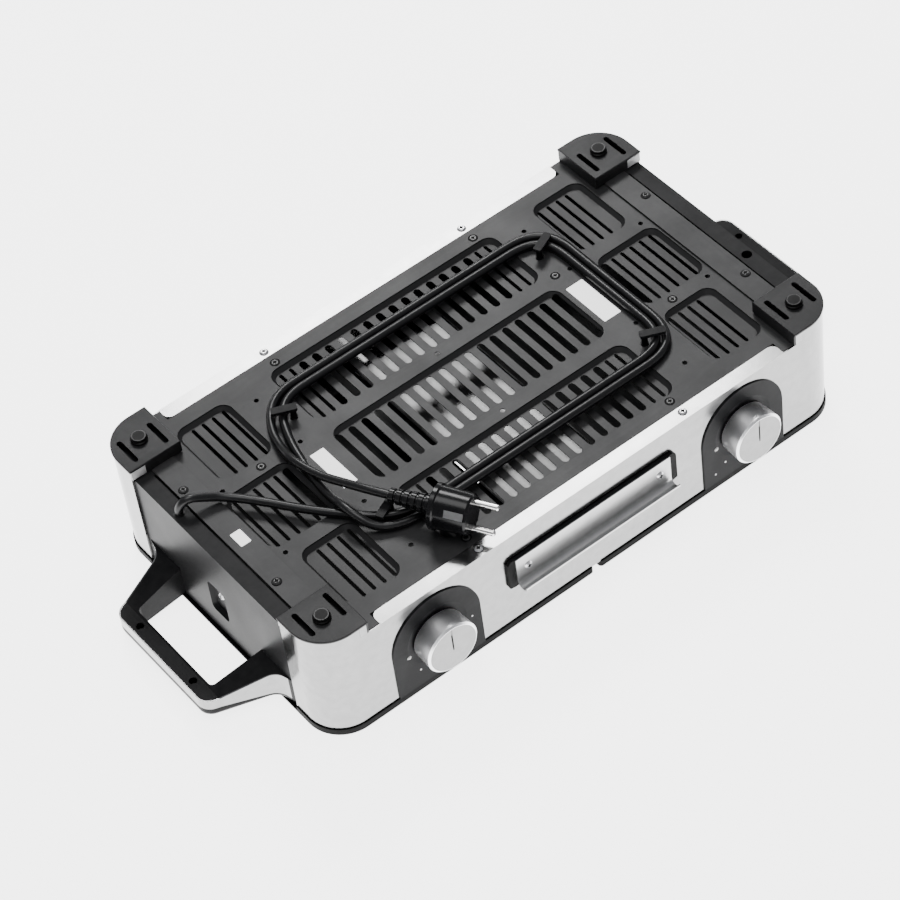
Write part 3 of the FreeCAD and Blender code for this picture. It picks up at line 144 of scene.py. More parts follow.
def add(tree, kind, values=None, **settings):
    """A node with its settings, then the values of its sockets."""
    item = tree.nodes.new(kind)
    for key, value in settings.items():
        setattr(item, key, value)
    for socket, value in (values or {}).items():
        item.inputs[socket].default_value = value
    return item


def link(tree, *pairs):
    """Links, each from an output to an input."""
    for source, target in pairs:
        tree.links.new(source, target)


print("helpers: group, add, link")

# %% [markdown]
# ## Grain
# Paint and moulded plastic are mottled twice over: fine specks from the powder or the mould,
# and broad patches where a surface is a little smoother. A single noise gives only one of
# the two. Here a fine and a broad noise each give half of the roughness, and the fine one
# alone gives the relief, because a broad patch isn't raised.

# %% Grain


def grain_group():
    """Mottling: one value for roughness, one for relief."""
    tree, inlet, outlet = group("grain", {"Scale": 800.0, "Low": 0.3, "High": 0.5}, ("Rough", "Height"))
    place = add(tree, "ShaderNodeTexCoord").outputs["Object"]
    fine = add(tree, "ShaderNodeTexNoise", {"Detail": 3.0})
    broad = add(tree, "ShaderNodeTexNoise", {"Scale": 22.0})
    half_fine = add(tree, "ShaderNodeMath", {1: 0.5}, operation="MULTIPLY")
    both = add(tree, "ShaderNodeMath", {1: 0.5}, operation="MULTIPLY_ADD")
    span = add(tree, "ShaderNodeMapRange", {"From Min": 0.3, "From Max": 0.7})
    link(tree, (place, fine.inputs["Vector"]), (place, broad.inputs["Vector"]),
         (inlet["Scale"], fine.inputs["Scale"]), (fine.outputs["Fac"], half_fine.inputs[0]),
         (broad.outputs["Fac"], both.inputs[0]), (half_fine.outputs[0], both.inputs[2]),
         (both.outputs[0], span.inputs["Value"]), (inlet["Low"], span.inputs["To Min"]),
         (inlet["High"], span.inputs["To Max"]), (span.outputs["Result"], outlet["Rough"]),
         (fine.outputs["Fac"], outlet["Height"]))
    return tree


GRAIN = grain_group()
print(GRAIN.name, "of", len(GRAIN.nodes), "nodes")

# %% [markdown]
# ## Brushing
# Stainless sheet is drawn under an abrasive belt, which leaves long level scratches. They
# are far too fine to model, and an anisotropic shader needs a direction on each face. A
# noise that is squeezed 250 times harder in height than in length gives level streaks on
# every upright wall, whichever way it faces, and most of this grill's steel is there.

# %% Brushing
ALONG, ACROSS = 6.0, 1500.0  # noise per metre along the scratches and across them


def brush_group():
    """Level scratches: one value for roughness, one for relief."""
    tree, inlet, outlet = group("brushing", {"Low": 0.15, "High": 0.3}, ("Rough", "Height"))
    place = add(tree, "ShaderNodeTexCoord").outputs["Object"]
    stretch = add(tree, "ShaderNodeMapping", {"Scale": (ALONG, ALONG, ACROSS)})
    streaks = add(tree, "ShaderNodeTexNoise", {"Scale": 1.0, "Detail": 4.0})
    span = add(tree, "ShaderNodeMapRange", {"From Min": 0.25, "From Max": 0.75})
    link(tree, (place, stretch.inputs["Vector"]), (stretch.outputs["Vector"], streaks.inputs["Vector"]),
         (streaks.outputs["Fac"], span.inputs["Value"]), (inlet["Low"], span.inputs["To Min"]),
         (inlet["High"], span.inputs["To Max"]), (span.outputs["Result"], outlet["Rough"]),
         (streaks.outputs["Fac"], outlet["Height"]))
    return tree


BRUSH = brush_group()
print(BRUSH.name, "of", len(BRUSH.nodes), "nodes")

# %% [markdown]
# ## Edge wear and painted edge highlight
# Hands and cloths rub the outer edges first, so a finish is a shade lighter there. The same
# lighter edge also stands in for the highlight that rounded edges catch, so it is partly a
# painted highlight. The worn edges could be selected and painted by hand, on every one of
# the nodes. Pointiness finds them instead: it says how far each spot stands out from its
# surroundings. A noise breaks the line up, because wear is never even.

# %% Edge wear and painted highlight


def edge_group():
    """How much a spot is lightened for wear and as a painted highlight: 0 on a flat face, and up to Amount
    on a sharp outer edge.
    """
    tree, inlet, outlet = group("edge_wear_and_highlight", {"Amount": 0.5}, ("Wear and highlight",))
    place = add(tree, "ShaderNodeTexCoord").outputs["Object"]
    sharp = add(tree, "ShaderNodeNewGeometry").outputs["Pointiness"]
    span = add(tree, "ShaderNodeMapRange", {"From Min": 0.52, "From Max": 0.62})
    patches = add(tree, "ShaderNodeTexNoise", {"Scale": 140.0})
    broken = add(tree, "ShaderNodeMath", operation="MULTIPLY")
    wear_and_highlight = add(tree, "ShaderNodeMath", operation="MULTIPLY")
    link(tree, (place, patches.inputs["Vector"]), (sharp, span.inputs["Value"]),
         (span.outputs["Result"], broken.inputs[0]), (patches.outputs["Fac"], broken.inputs[1]),
         (broken.outputs[0], wear_and_highlight.inputs[0]), (inlet["Amount"], wear_and_highlight.inputs[1]),
         (wear_and_highlight.outputs[0], outlet["Wear and highlight"]))
    return tree


EDGE = edge_group()
print(EDGE.name, "of", len(EDGE.nodes), "nodes")

# %% [markdown]
# ## One recipe for every finish
# Each finish on the grill differs in the same few ways: its colour, how rough it is at its
# smoothest and roughest, how deep its grain is and how much its edges are lightened, for
# wear and as a painted highlight. Every material could be drawn by hand in the node editor,
# but twenty-seven of them would soon drift apart. One function places the groups round a
# shader of the material's own, and a call names only what is special. A finish without
# that lightening gets its colour straight on the shader.

# %% Recipe
RELIEF_DEPTH = 0.0004  # metres between the lowest and highest grain
WEAR_HIGHLIGHT_GAIN, WEAR_HIGHLIGHT_LIFT = 1.8, 0.03  # a worn edge's colour from the base colour
finishes = {}


def finish(name, color, rough, metallic=0.0, grain=900.0, relief=0.05, wear_and_highlight=0.4, brushed=False, **sockets):
    """A material: colour, lowest and highest roughness, grain per metre, relief, and edge wear with
    painted highlight.
    """
    item = bpy.data.materials.new(name)
    item.use_nodes = True
    tree = item.node_tree
    shader = tree.nodes["Principled BSDF"].inputs
    shader["Metallic"].default_value = metallic
    for title, value in sockets.items():
        shader[title.replace("_", " ")].default_value = value
    low, high = rough
    if brushed:
        effect = add(tree, "ShaderNodeGroup", {"Low": low, "High": high}, node_tree=BRUSH)
    else:
        effect = add(tree, "ShaderNodeGroup", {"Low": low, "High": high, "Scale": grain}, node_tree=GRAIN)
    bump = add(tree, "ShaderNodeBump", {"Strength": relief, "Distance": RELIEF_DEPTH})
    link(tree, (effect.outputs["Rough"], shader["Roughness"]),
         (effect.outputs["Height"], bump.inputs["Height"]),
         (bump.outputs["Normal"], shader["Normal"]))
    shader["Base Color"].default_value = (*color, 1.0)
    # Edges are lightened here, partly for wear and partly as a painted highlight.
    if wear_and_highlight:
        wear_highlight_color = [min(1.0, c * WEAR_HIGHLIGHT_GAIN + WEAR_HIGHLIGHT_LIFT) for c in color]
        edge = add(tree, "ShaderNodeGroup", {"Amount": wear_and_highlight}, node_tree=EDGE)
        mix = add(tree, "ShaderNodeMix", {"A": (*color, 1.0), "B": (*wear_highlight_color, 1.0)}, data_type="RGBA")
        link(tree, (edge.outputs["Wear and highlight"], mix.inputs["Factor"]),
             (mix.outputs["Result"], shader["Base Color"]))
    finishes[name] = item
    return item


print("each finish sets Low and High on", GRAIN.name, "or", BRUSH.name, "and Amount on", EDGE.name)

# %% [markdown]
# ## Bare steel
# The two shells, the bands round the handles and the curled plate of the juice tray are
# stainless steel. The shells are brushed finely and almost mirror the studio, while the
# tray's plate is duller, and a small fold under each pad shows the bare sheet. Real steel
# reflects over half of the light, and so could this one, but the floor here glows and the
# walls would wash out. A darker grey keeps their shading.

# %% Bare steel
finish("steel", (0.25, 0.25, 0.25), (0.14, 0.22), metallic=1.0, relief=0.008, brushed=True)
finish("tray_steel", (0.45, 0.45, 0.45), (0.30, 0.36), metallic=1.0, relief=0.006, brushed=True)
finish("fold_steel", (0.42, 0.42, 0.42), (0.40, 0.50), metallic=0.3, relief=0.02)
print("steel finishes:", list(finishes))

# %% [markdown]
# ## Dark sheet
# The base and the end panels are thin sheet with a dark, slightly rough paint, and so are
# the arched plates behind the knobs. Paint could be a metal with a coat over it, but a dry
# matt paint hides the metal wholly. A plain non-metallic shader with a low specular level
# does that. The end panels have the base's paint, but their copy of it is darker and less
# specular, which is painted shade, because the end in view faces away from the key light.

# %% Dark sheet
finish("grey_sheet", (0.0155, 0.0155, 0.016), (0.38, 0.50), grain=1600.0, relief=0.06,
       Specular_IOR_Level=0.28)
# The end panels: the base's paint, made darker and less specular as painted shade.
finish("end_sheet_painted_shade", (0.0085, 0.0085, 0.009), (0.34, 0.46), grain=1600.0, relief=0.06,
       Specular_IOR_Level=0.08)
finish("plate_black", (0.004, 0.004, 0.0045), (0.36, 0.48), grain=1500.0, Specular_IOR_Level=0.06)
print("sheet finishes:", list(finishes)[-3:])

# %% [markdown]
# ## Mouldings and feet
# The corner pads and the cord gland are one black plastic. The handles and the cord hooks
# are another, blacker and closer in grain, and the feet are soft rubber with a shinier ring
# round the tip. One black could serve them all, but the eye tells them apart by their
# highlights. So they differ in roughness, grain and specular level more than in colour. The
# plastic inside the body is rougher, and is never seen in full light.

# %% Mouldings and feet
finish("black_plastic", (0.006, 0.006, 0.0065), (0.34, 0.48), grain=1400.0, relief=0.10,
       Specular_IOR_Level=0.22)
finish("handle_black", (0.004, 0.004, 0.0045), (0.32, 0.44), grain=1700.0, relief=0.12,
       Specular_IOR_Level=0.07)
finish("foot_rubber", (0.0025, 0.0025, 0.0025), (0.30, 0.42), grain=1100.0, relief=0.06,
       Specular_IOR_Level=0.08)
# foot_gloss: its gloss is real; its grey, lighter than the rubber's, is a painted highlight on the ring's
# edge.
finish("foot_gloss", (0.012, 0.012, 0.012), (0.26, 0.36), grain=1100.0, relief=0.02,
       Specular_IOR_Level=0.30)
finish("inner_plastic", (0.02, 0.018, 0.016), (0.5, 0.7), relief=0.10)
print("moulded finishes:", list(finishes)[-5:])

# %% [markdown]
# ## Knobs, lamps and screws
# A knob has a satin chromed skirt round a darker turned face, and a small pilot lamp sits
# beside it. Chrome could be a perfect mirror, but a satin skirt scatters what it mirrors,
# and grain on such a bright metal turns to specks. So its relief is off and its roughness
# nearly even. The lamp's lens has a clear coat for its hard highlight. The screws of the
# base and the handles are blackened, the others bright. The near-black recess finish is
# painted shade, for the screws' cross recesses and the gaps round their heads, and it is
# also the real black paint of the knobs' pointer lines.

# %% Knobs, lamps and screws
finish("knob_chrome", (0.92, 0.92, 0.93), (0.33, 0.35), metallic=1.0, grain=700.0, relief=0.0)
finish("knob_face", (0.22, 0.22, 0.22), (0.26, 0.38), metallic=1.0, grain=1800.0)
finish("lens", (0.28, 0.28, 0.27), (0.10, 0.2), grain=500.0, relief=0.01, Coat_Weight=0.6)
finish("screw_steel", (0.72, 0.72, 0.73), (0.22, 0.40), metallic=1.0, grain=1500.0)
finish("screw_black", (0.022, 0.022, 0.022), (0.26, 0.36), grain=1500.0, Specular_IOR_Level=0.45)
# recess: near-black painted shade in screw recesses and head gaps; on the knob pointers, real black paint.
finish("recess", (0.002, 0.002, 0.002), (0.5, 0.7), relief=0.02, wear_and_highlight=0.0, Specular_IOR_Level=0.1)
print("finishes so far:", len(finishes))

# %% [markdown]
# ## Cooking side and inside
# The grill plates have a black non-stick coating, and the tray's black front is as matt.
# The tray's pan is plain light metal that shows through the vents as a glint, but it is
# given a dark grey, which is painted shade, because little light reaches inside the body.
# The heat shields and the inner steel are near-black for the same reason: painted shade,
# not their own colour. All of these could share one grey, but the vents then look like
# painted bars. A glinting pan between darker shields gives the slots their depth.

# %% Cooking side and inside
finish("grill_coating", (0.0025, 0.0025, 0.0025), (0.45, 0.60), grain=1200.0, relief=0.15,
       Specular_IOR_Level=0.04)
# The pan: light metal, given a dark grey as painted shade of the inside of the body.
finish("light_metal", (0.10, 0.10, 0.10), (0.26, 0.36), metallic=1.0, grain=1000.0, relief=0.03)
# Shields and inner steel: near-black, painted shade of the inside of the body.
finish("shield_painted_shade", (0.018, 0.018, 0.018), (0.6, 0.8), grain=1000.0, Specular_IOR_Level=0.2)
finish("inner_steel", (0.06, 0.06, 0.06), (0.5, 0.7), metallic=0.3)
print("finishes so far:", len(finishes))

# %% [markdown]
# ## Cord and plug
# The cord's jacket is a soft, slightly textured black, and the plug is a like one from a
# polished mould. Its pins are plated, and its side contacts are dull springs. The jacket's
# texture could be modelled, but at this size it only breaks the highlight up, and a close
# grain does that without a single face.

# %% Cord and plug
finish("cord_black", (0.0035, 0.0035, 0.004), (0.26, 0.40), grain=2500.0, relief=0.12,
       Specular_IOR_Level=0.35)
finish("plug_black", (0.003, 0.003, 0.0035), (0.15, 0.24), grain=2000.0, relief=0.06,
       Specular_IOR_Level=0.22)
finish("pin_metal", (0.88, 0.87, 0.85), (0.10, 0.22), metallic=1.0, relief=0.02)
finish("contact_metal", (0.30, 0.30, 0.30), (0.26, 0.36), metallic=1.0, relief=0.02)
print("finishes so far:", len(finishes))

# %% [markdown]
# ## Bare plates and dots
# Three pale plates lie on the base, and dots stand round each knob. White things go grey
# here, because the light is set for the dark base. More light would grey the base as well,
# so the plates glow a little of their own.

# %% Bare plates and dots
WHITE = (1.0, 1.0, 1.0, 1.0)
finish("plate_white", (0.94, 0.94, 0.93), (0.45, 0.6), grain=600.0, relief=0.03, wear_and_highlight=0.0,
       Emission_Color=WHITE, Emission_Strength=1.2)
finish("mark_grey", (0.60, 0.60, 0.60), (0.4, 0.5), relief=0.02, wear_and_highlight=0.0)
print("finishes in all:", len(finishes))

# %% [markdown]
# ## Dress the nodes
# The record says which finish each node was designed with. Every node could be named here
# with its material, but the record already holds that list, and it stays right when a node
# is added. Only the pieces that look different from the rest of their slot are named.

# %% Dress the nodes
OWN_FINISH = {
    # The heat shields get a near-black finish, which is painted shade.
    "heat_shield_left": "shield_painted_shade",
    "heat_shield_right": "shield_painted_shade",
    # The end panels get a darker copy of the base's paint, which is painted shade.
    "left_end_panel": "end_sheet_painted_shade",
    "right_end_panel": "end_sheet_painted_shade",
    "plug_earth_contacts": "contact_metal",
    "tray_plate": "tray_steel",
    "tray_front": "grill_coating",
    "cord_hooks": "handle_black",
}
slots = {entry["node"]: entry["material_slot"] for entry in frame["record"]["subparts"]}
for name, obj in nodes.items():
    obj.data.materials.clear()
    obj.data.materials.append(finishes[OWN_FINISH.get(name, slots[name])])
print(len(nodes), "nodes dressed,", len(OWN_FINISH), "of them apart from their slot")

# %% [markdown]
# ## Where the mains cord goes
# The real cord is 1.8 m long and round. It comes out of a hole in the left end panel,
# bows down to the base, runs twice round four hooks and crosses over itself to the plug. It
# could be left to a physics run, but a wound cord would spring off its hooks. So its route
# is a list of points, as in the CAD: one before and one after each bend, and a raised pair
# wherever it crosses over. A straight run needs no points between its ends.

# %% Points of the cord
LAY = 100.0  # height of the cord's middle where it lies on the base
OVER = 107.6  # and where it starts over another length of cord
LEAD = [  # out of the hole, down to the base and across it to the front hooks
    (-238, 43.5, 98), (-238, 43.5, 103), (-231.5, 41.1, 110.5), (-221, 37, 107.6), (-205, 29.5, 102),
    (-187, 9, LAY), (-172.5, -13, LAY), (-159, -31, LAY), (-147, -45, LAY), (-136.5, -57.5, LAY),
    (-123.5, -67.5, LAY), (-106, -73.8, LAY), (-88, -73.8, LAY),
]
INNER_TURN = [  # front, right, rear and left, then over the lead
    (82, -73.8, LAY), (120, -73.8, LAY), (135, -58.8, LAY), (135, -22, LAY), (135, 28, LAY),
    (135, 66.5, LAY), (120, 81.5, LAY), (82, 81.5, LAY), (-80, 81.5, LAY), (-110, 81.5, LAY),
    (-126.5, 68.5, LAY), (-137.5, 41, LAY), (-142.5, 18, LAY), (-146, -3, LAY), (-147.5, -22, LAY),
    (-149, -38, OVER), (-148, -54, OVER), (-141, -70, 101.2), (-122, -80, LAY), (-98, -81.2, LAY),
]
OUTER_TURN = [  # the same way, one cord further out
    (86, -81.2, LAY), (124, -81.2, LAY), (142.4, -61.8, LAY), (142.4, -24, LAY), (142.4, 33, LAY),
    (142.4, 71.5, LAY), (125, 88.9, LAY), (87, 88.9, LAY),
]
TAIL = [  # down the left side, over the turns and into the plug
    (-88, 88.9, LAY), (-112, 88.9, LAY), (-130, 78, LAY), (-141.5, 59.5, LAY), (-147, 38, 101.7),
    (-150, 20, OVER), (-144.5, -6, 107.8), (-135.5, -28, 110.8), (-128.5, -47.56, 114.5),
    (-120.5, -61.41, 114.5),
]
route = [at(*point) for point in LEAD + INNER_TURN + OUTER_TURN + TAIL]
print("a route of", len(route), "points")

# %% [markdown]
# ## The mains cord
# A cord is one round section carried along a line. It could be a mesh tube, but a curve with
# a bevel stays editable and has no seams. A Bezier curve would need two handles for each
# point. A NURBS curve of order 3 rounds each corner by itself, as a springy cord does, and
# stays near its points. Its order is set after its points, because Blender would otherwise
# leave it at 2, which is straight runs. The curve then stands for the frame's three plain
# cord solids.

# %% Make the cord
CORD_RADIUS = 3.4
line = bpy.data.curves.new("mains_cord", "CURVE")
line.dimensions = "3D"
line.bevel_depth = CORD_RADIUS * MM
line.bevel_resolution = 6
line.resolution_u = 10
line.use_fill_caps = True
spline = line.splines.new("NURBS")
spline.points.add(len(route) - 1)
for knot, place in zip(spline.points, route):
    knot.co = (*place, 1.0)
spline.order_u = 3
spline.use_endpoint_u = True
line.materials.append(finishes["cord_black"])

cord = put("mains_cord", line)
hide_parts("cord_lead", "cord_turns", "cord_tail")
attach(cord, BODY)
print("cord", 2 * CORD_RADIUS, "mm thick, from", [round(v, 3) for v in route[0]])

# %% [markdown]
# ## Outlines of thin pieces
# What is still missing is all of one kind: small flat shapes that stand a little proud of a
# face, such as a plate, a dot or the recess of a screw. Each could be an image on the
# surface, but then it has no edge to catch the light. So an outline becomes a face, and the
# face is pushed out into a thin block. The grill needs three outlines: a rounded plate, a
# disc and the cross of a screw.

# %% Outlines
CORNER_STEPS = 4  # straight pieces in a rounded corner


def rounded(middle, u, v, half_u, half_v, radius):
    """A rounded plate about its middle, along two directions."""
    outline = []
    for sign_u, sign_v, start in ((1, 1, 0), (-1, 1, 90), (-1, -1, 180), (1, -1, 270)):
        corner = middle + u * sign_u * (half_u - radius) + v * sign_v * (half_v - radius)
        for i in range(CORNER_STEPS + 1):
            angle = math.radians(start + i * 90.0 / CORNER_STEPS)
            outline.append(corner + u * radius * math.cos(angle) + v * radius * math.sin(angle))
    return outline


def disc(middle, u, v, radius, count=32):
    """A disc about its middle, as a ring of points."""
    angles = [2 * math.pi * i / count for i in range(count)]
    return [middle + u * radius * math.cos(angle) + v * radius * math.sin(angle) for angle in angles]


def cross(middle, u, v, half=1.7, arm=0.7):
    """The recess of a cross-head screw: half its reach, and half an arm's width."""
    steps = ((half, arm), (arm, arm), (arm, half), (-arm, half), (-arm, arm), (-half, arm),
             (-half, -arm), (-arm, -arm), (-arm, -half), (arm, -half), (arm, -arm), (half, -arm))
    return [middle + u * a + v * b for a, b in steps]


print("a rounded plate has", len(rounded(Vector(), X, Y, 8.0, 8.0, 0.8)), "points")

# %% [markdown]
# ## Bare plates
# Two long pale plates lie on the base beside the middle vents, and a small one lies on the
# left end strip, each as thin as foil. They could be patches of another colour in the
# base's material, but their edges would then depend on the base's mesh. A block 0.15 mm
# thick has a clean edge. The function here turns any list of outlines into one mesh, and
# the later cells use it too: blocks that share a body and a finish are one piece.

# %% Bare plates
BASE_TOP = 96.5  # height of the base sheet's face
STRIP_TOP = 98.3  # height of its end strips, which are pressed up
PLATE_THICK, PLATE_CORNER = 0.15, 0.8


def raised(name, blocks, look, body=BODY):
    """Outlines in millimetres, each with the vector that it is pushed out by, as one piece."""
    form = bmesh.new()
    for outline, push in blocks:
        face = form.faces.new([form.verts.new(at(*point)) for point in outline])
        pushed = bmesh.ops.extrude_face_region(form, geom=[face])["geom"]
        for vert in [g for g in pushed if isinstance(g, bmesh.types.BMVert)]:
            vert.co += push * MM
    bmesh.ops.recalc_face_normals(form, faces=form.faces)
    mesh = bpy.data.meshes.new(name)
    form.to_mesh(mesh)
    form.free()
    mesh.materials.append(finishes[look])
    piece = put(name, mesh)
    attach(piece, body)
    print(name, "of", len(blocks), "blocks,", len(mesh.polygons), "faces")


plates = [  # x and y of the middle, half sizes, height of the face under the plate
    (-127.25, 1.5, 6.25, 21.5, BASE_TOP),
    (121.6, 1.1, 8.0, 23.5, BASE_TOP),
    (-218.5, -7.5, 4.5, 7.5, STRIP_TOP),
]
foils = [(rounded(Vector((x, y, z)), X, Y, half_x, half_y, PLATE_CORNER), Z * PLATE_THICK)
         for x, y, half_x, half_y, z in plates]
raised("bare_plates", foils, "plate_white")

# %% [markdown]
# ## Dial dots and pointers
# Pale dots on each arched plate mark where its knob can be set, and a dark line on the knob
# points at them. Dots are usually printed. A printed dot could again be a patch of colour,
# but a knob turns and its plate doesn't, so the dots and the line have to be on different
# bodies. As thin blocks, each simply rides on its own.

# %% Dial dots and pointers
KNOB_ACROSS, KNOB_UP = 146.4, 50.0  # a knob's axis, from the middle and in height
DIAL_FACE, KNOB_FACE = -140.5, -159.8  # y of the arched plate's face and of the knob's
DOT_RADIUS, DOT_THICK, DOT_SIDES = 0.8, 0.1, 16
LINE_RISE = 6.0  # from the axis to the pointer's middle
LINE_HALF_WIDE, LINE_HALF_TALL, LINE_CORNER, LINE_THICK = 0.5, 8.0, 0.4, 0.06
dots_left = ((-18.6, -27.3), (31.4, -7.5))  # x and z from the knob's axis
dots_right = ((-18.6, -27.3), (-28.7, -34.0))
dots = []
for sign, spots in ((-1, dots_left), (1, dots_right)):
    for x, z in spots:
        spot = Vector((sign * KNOB_ACROSS + x, DIAL_FACE, KNOB_UP + z))
        dots.append((disc(spot, X, Z, DOT_RADIUS, DOT_SIDES), -Y * DOT_THICK))
raised("dial_marks", dots, "mark_grey")
for side, sign in (("left", -1), ("right", 1)):
    middle = Vector((sign * KNOB_ACROSS, KNOB_FACE, KNOB_UP + LINE_RISE))
    pointer = rounded(middle, X, Z, LINE_HALF_WIDE, LINE_HALF_TALL, LINE_CORNER)
    raised("pointer_" + side, [(pointer, -Y * LINE_THICK)], "recess", "knob_%s_turning" % side)

# %% [markdown]
# ## Screws, with painted shade in their recesses
# Cross-head screws hold the base, the end strips, the shells' flanges, the end panels and
# the tray's plate. Their heads are solids of the frame, plain and round. The cross could be
# cut into each head, but the frame's meshes are kept as they are, and from a step away a
# recess is only a cross of shade. So a thin near-black cross of painted shade lies on each
# head, and a near-black disc under it is the painted shade in the gap round its rim. The
# tray's screws are apart, because they slide with it.

# %% Screws
# The rims and crosses below are near-black painted shade: in each head's cross and in the gap round it.
RIM_SHADE_THICK, CROSS_THICK = 0.06, 0.05
RIM_SHADE_RADIUS, SHELL_RIM_SHADE_RADIUS = 4.0, 3.7  # radius of the dark rim
BASE_HEAD, STRIP_HEAD, SHELL_HEAD = 97.1, 99.8, 98.0  # height of the tops of the heads
PANEL_HEAD, PANEL_UP = 241.7, 42.5  # x and height of the screw head in an end panel's dimple
TRAY_HEAD, TRAY_UP = -144.8, 60.8  # y and height of the heads on the tray's plate
base_spots = [(-96.4, -118.1), (96.4, -118.1), (-96.4, 118.1), (96.4, 118.1),
              (-166.2, 39.65), (117.0, 41.55), (166.2, -39.65)]
strip_spots = [(x, y) for x in (-223.2, 223.2) for y in (-59.0, 59.0)]
shell_spots = [(x, y) for x in (-96.4, 96.4) for y in (-132.6, 132.6)]
rim_shades, cross_shades = [], []
for face, head, rim_shade_radius, spots in ((BASE_TOP, BASE_HEAD, RIM_SHADE_RADIUS, base_spots),
                               (STRIP_TOP, STRIP_HEAD, RIM_SHADE_RADIUS, strip_spots),
                               (BASE_TOP, SHELL_HEAD, SHELL_RIM_SHADE_RADIUS, shell_spots)):
    rim_shades += [(disc(Vector((x, y, face)), X, Y, rim_shade_radius), Z * RIM_SHADE_THICK) for x, y in spots]
    cross_shades += [(cross(Vector((x, y, head)), X, Y), Z * CROSS_THICK) for x, y in spots]
for sign in (-1, 1):
    cross_shades.append((cross(Vector((sign * PANEL_HEAD, 0.0, PANEL_UP)), Y, Z), X * sign * CROSS_THICK))
tray_cross_shades = [(cross(Vector((x, TRAY_HEAD, TRAY_UP)), X, Z), -Y * CROSS_THICK) for x in (-62.8, 62.8)]
raised("screw_rim_shades", rim_shades, "recess")
raised("screw_recess_shades", cross_shades, "recess")
raised("tray_screw_recess_shades", tray_cross_shades, "recess", "juice_tray")

# %% [markdown]
# ## Feet
# Each rubber foot ends in a matt cap inside a narrow shiny ring. Both could be steps in the
# foot's solid, but they stand up by less than a quarter of a millimetre, and a solid's
# faces are better spent elsewhere. Two thin discs on the tip, the shiny one wider and
# lower, leave the same ring. The ring's gloss is real, and its grey, lighter than the
# rubber's, is a painted highlight along the step's edge.

# %% Feet
FOOT_FACE = FOOT_TIP - 0.05  # the discs are sunk a little, so that no gap shows
CAP_RADIUS, CAP_THICK = 4.7, 0.25
RING_RADIUS, RING_THICK = 5.4, 0.12
tips = [Vector((x, y, FOOT_FACE)) for x in (-222.5, 222.5) for y in (-115.0, 115.0)]
caps = [(disc(tip, X, Y, CAP_RADIUS), Z * CAP_THICK) for tip in tips]
highlight_rings = [(disc(tip, X, Y, RING_RADIUS), Z * RING_THICK) for tip in tips]
raised("foot_caps", caps, "foot_rubber")
# The rings' lighter grey is a painted highlight along the step's edge.
raised("foot_ring_highlights", highlight_rings, "foot_gloss")

# %% [markdown]
# ## Hook bars
# Four hooks hold the wound cord, each a post with a bar across its top that points outward
# over the turns. The frame's bars are slim. Here a wider bar with rounded corners lies on
# each, at its hook's own angle. It could replace the hooks wholly, but their posts are right
# as they are, and a bar that is fitted over them leaves them in place.

# %% Hook bars
BAR_LOW, BAR_THICK = 105.25, 2.7
BAR_REACH = 6.5  # from the post to the bar's middle
BAR_HALF_LONG, BAR_HALF_WIDE, BAR_CORNER = 10.0, 3.3, 1.2
hooks = ((121, 65.5, 25), (-118.6, 63.1, 155), (121, -60.5, -25), (-121, -60.5, -155))  # x, y, degrees
bars = []
for x, y, degrees in hooks:
    outward = Vector((math.cos(math.radians(degrees)), math.sin(math.radians(degrees)), 0))
    middle = Vector((x, y, BAR_LOW)) + outward * BAR_REACH
    outline = rounded(middle, outward, Z.cross(outward), BAR_HALF_LONG, BAR_HALF_WIDE, BAR_CORNER)
    bars.append((outline, Z * BAR_THICK))
raised("hook_bars", bars, "handle_black")

# %% [markdown]
# ## Corner tabs and folds
# At each corner the steel shell ends in a short upright tab beside the pad, and a folded
# edge of pale sheet shows under the pad at the end panel. The shells could be modelled again
# with these in them, but the frame's mesh stays as it is. The tabs and folds are thin blocks
# against it, one for each corner, so the loop goes through both signs of x and of y.

# %% Corner tabs and folds
TAB_Y, TAB_THICK = 139.3, 0.2  # on the shell's outer face
FOLD_Y, FOLD_THICK = 92.35, 1.6  # at the pad's inner edge
TAB_SPAN = (202.4, 208.4, 96.4, 106.5)  # from x to x, from height to height
FOLD_SPAN = (233.2, 245.8, 98.5, 106.4)


def upright(sign_x, y, x0, x1, z0, z1):
    """A standing rectangle that faces along y."""
    return [Vector((sign_x * x, y, z)) for x, z in ((x0, z0), (x1, z0), (x1, z1), (x0, z1))]


corners = [(sign_x, sign_y) for sign_x in (-1, 1) for sign_y in (-1, 1)]
tabs = [(upright(sx, sy * TAB_Y, *TAB_SPAN), Y * sy * TAB_THICK) for sx, sy in corners]
folds = [(upright(sx, sy * FOLD_Y, *FOLD_SPAN), Y * sy * FOLD_THICK) for sx, sy in corners]
raised("steel_tabs", tabs, "steel")
raised("end_folds", folds, "fold_steel")

# %% [markdown]
# ## Floor
# A product picture is often taken on a white sweep that is lit for itself, so that it is
# brighter than anything on it. A floor under the same lamps as a black grill stays grey. The
# lamps could be turned up, but that would lift the blacks too. A floor that glows keeps the
# two apart, and its glow is also what the steel walls mirror.

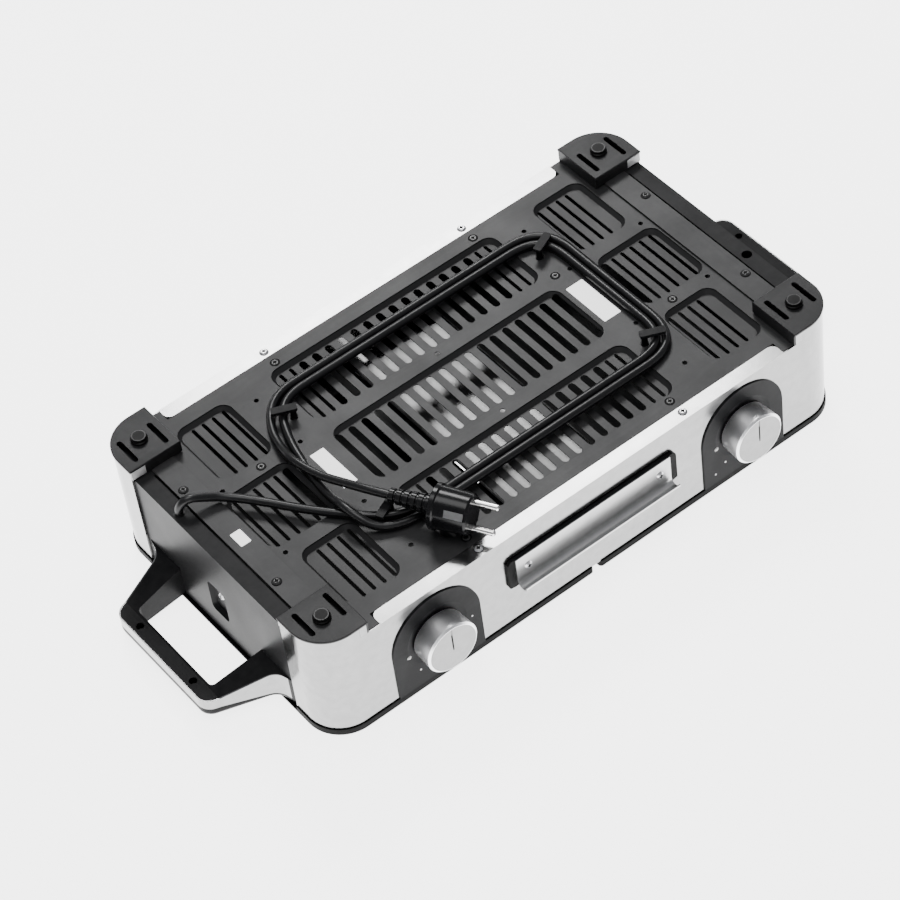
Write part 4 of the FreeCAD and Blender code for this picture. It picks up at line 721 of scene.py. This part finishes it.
# %% Floor
FLOOR_HALF = 6.0  # metres
FLOOR_DROP = 0.0003  # under the plates' rims, so that the two never share a plane
FLOOR_GLOW = 3.8
form = bmesh.new()
bmesh.ops.create_grid(form, x_segments=2, y_segments=2, size=FLOOR_HALF)
floor_mesh = bpy.data.meshes.new("floor")
form.to_mesh(floor_mesh)
form.free()
pale = finish("floor_pale", (0.96, 0.96, 0.96), (0.8, 0.95), grain=300.0, relief=0.01, wear_and_highlight=0.0,
              Specular_IOR_Level=0.1, Emission_Color=WHITE, Emission_Strength=FLOOR_GLOW)
floor_mesh.materials.append(pale)
floor = put("floor", floor_mesh)
floor.location = (0, 0, -FLOOR_DROP)
print("floor", 2 * FLOOR_HALF, "m across")

# %% [markdown]
# ## Light
# Dark sheet shows its shape only through soft highlights, so the lamps are large boxes and
# none is a bare bulb. One even dome of light would be simpler, but it leaves no shaded side.
# The key box stands high behind and to the right, the top box is nearly overhead and lights
# the base, and a faint fill from the front keeps the tray and the knobs from going black. A
# pale world softens what is left.

# %% Light
TARGET = Vector((0, 0, 0.05))  # metres, the middle of the body
SKY_COLOR, SKY_STRENGTH = (0.95, 0.96, 1.0, 1.0), 0.38
world = bpy.data.worlds.new("studio")
world.use_nodes = True
sky = world.node_tree.nodes["Background"].inputs
sky["Color"].default_value = SKY_COLOR
sky["Strength"].default_value = SKY_STRENGTH
bpy.context.scene.world = world


def softbox(name, place, wide, tall, watts):
    """A large rectangular lamp, in metres, that faces the grill."""
    light = bpy.data.lights.new(name, "AREA")
    light.shape = "RECTANGLE"
    light.size = wide
    light.size_y = tall
    light.energy = watts
    box = put(name, light)
    box.location = place
    box.rotation_euler = (TARGET - Vector(place)).to_track_quat("-Z", "Y").to_euler()
    print(name, "box:", watts, "W")


softbox("key", (1.05, 1.75, 2.2), 0.95, 0.75, 47.0)
softbox("top", (-0.3, 0.1, 2.6), 1.6, 1.2, 34.0)
softbox("fill", (-1.2, -2.3, 1.6), 1.4, 1.2, 4.0)
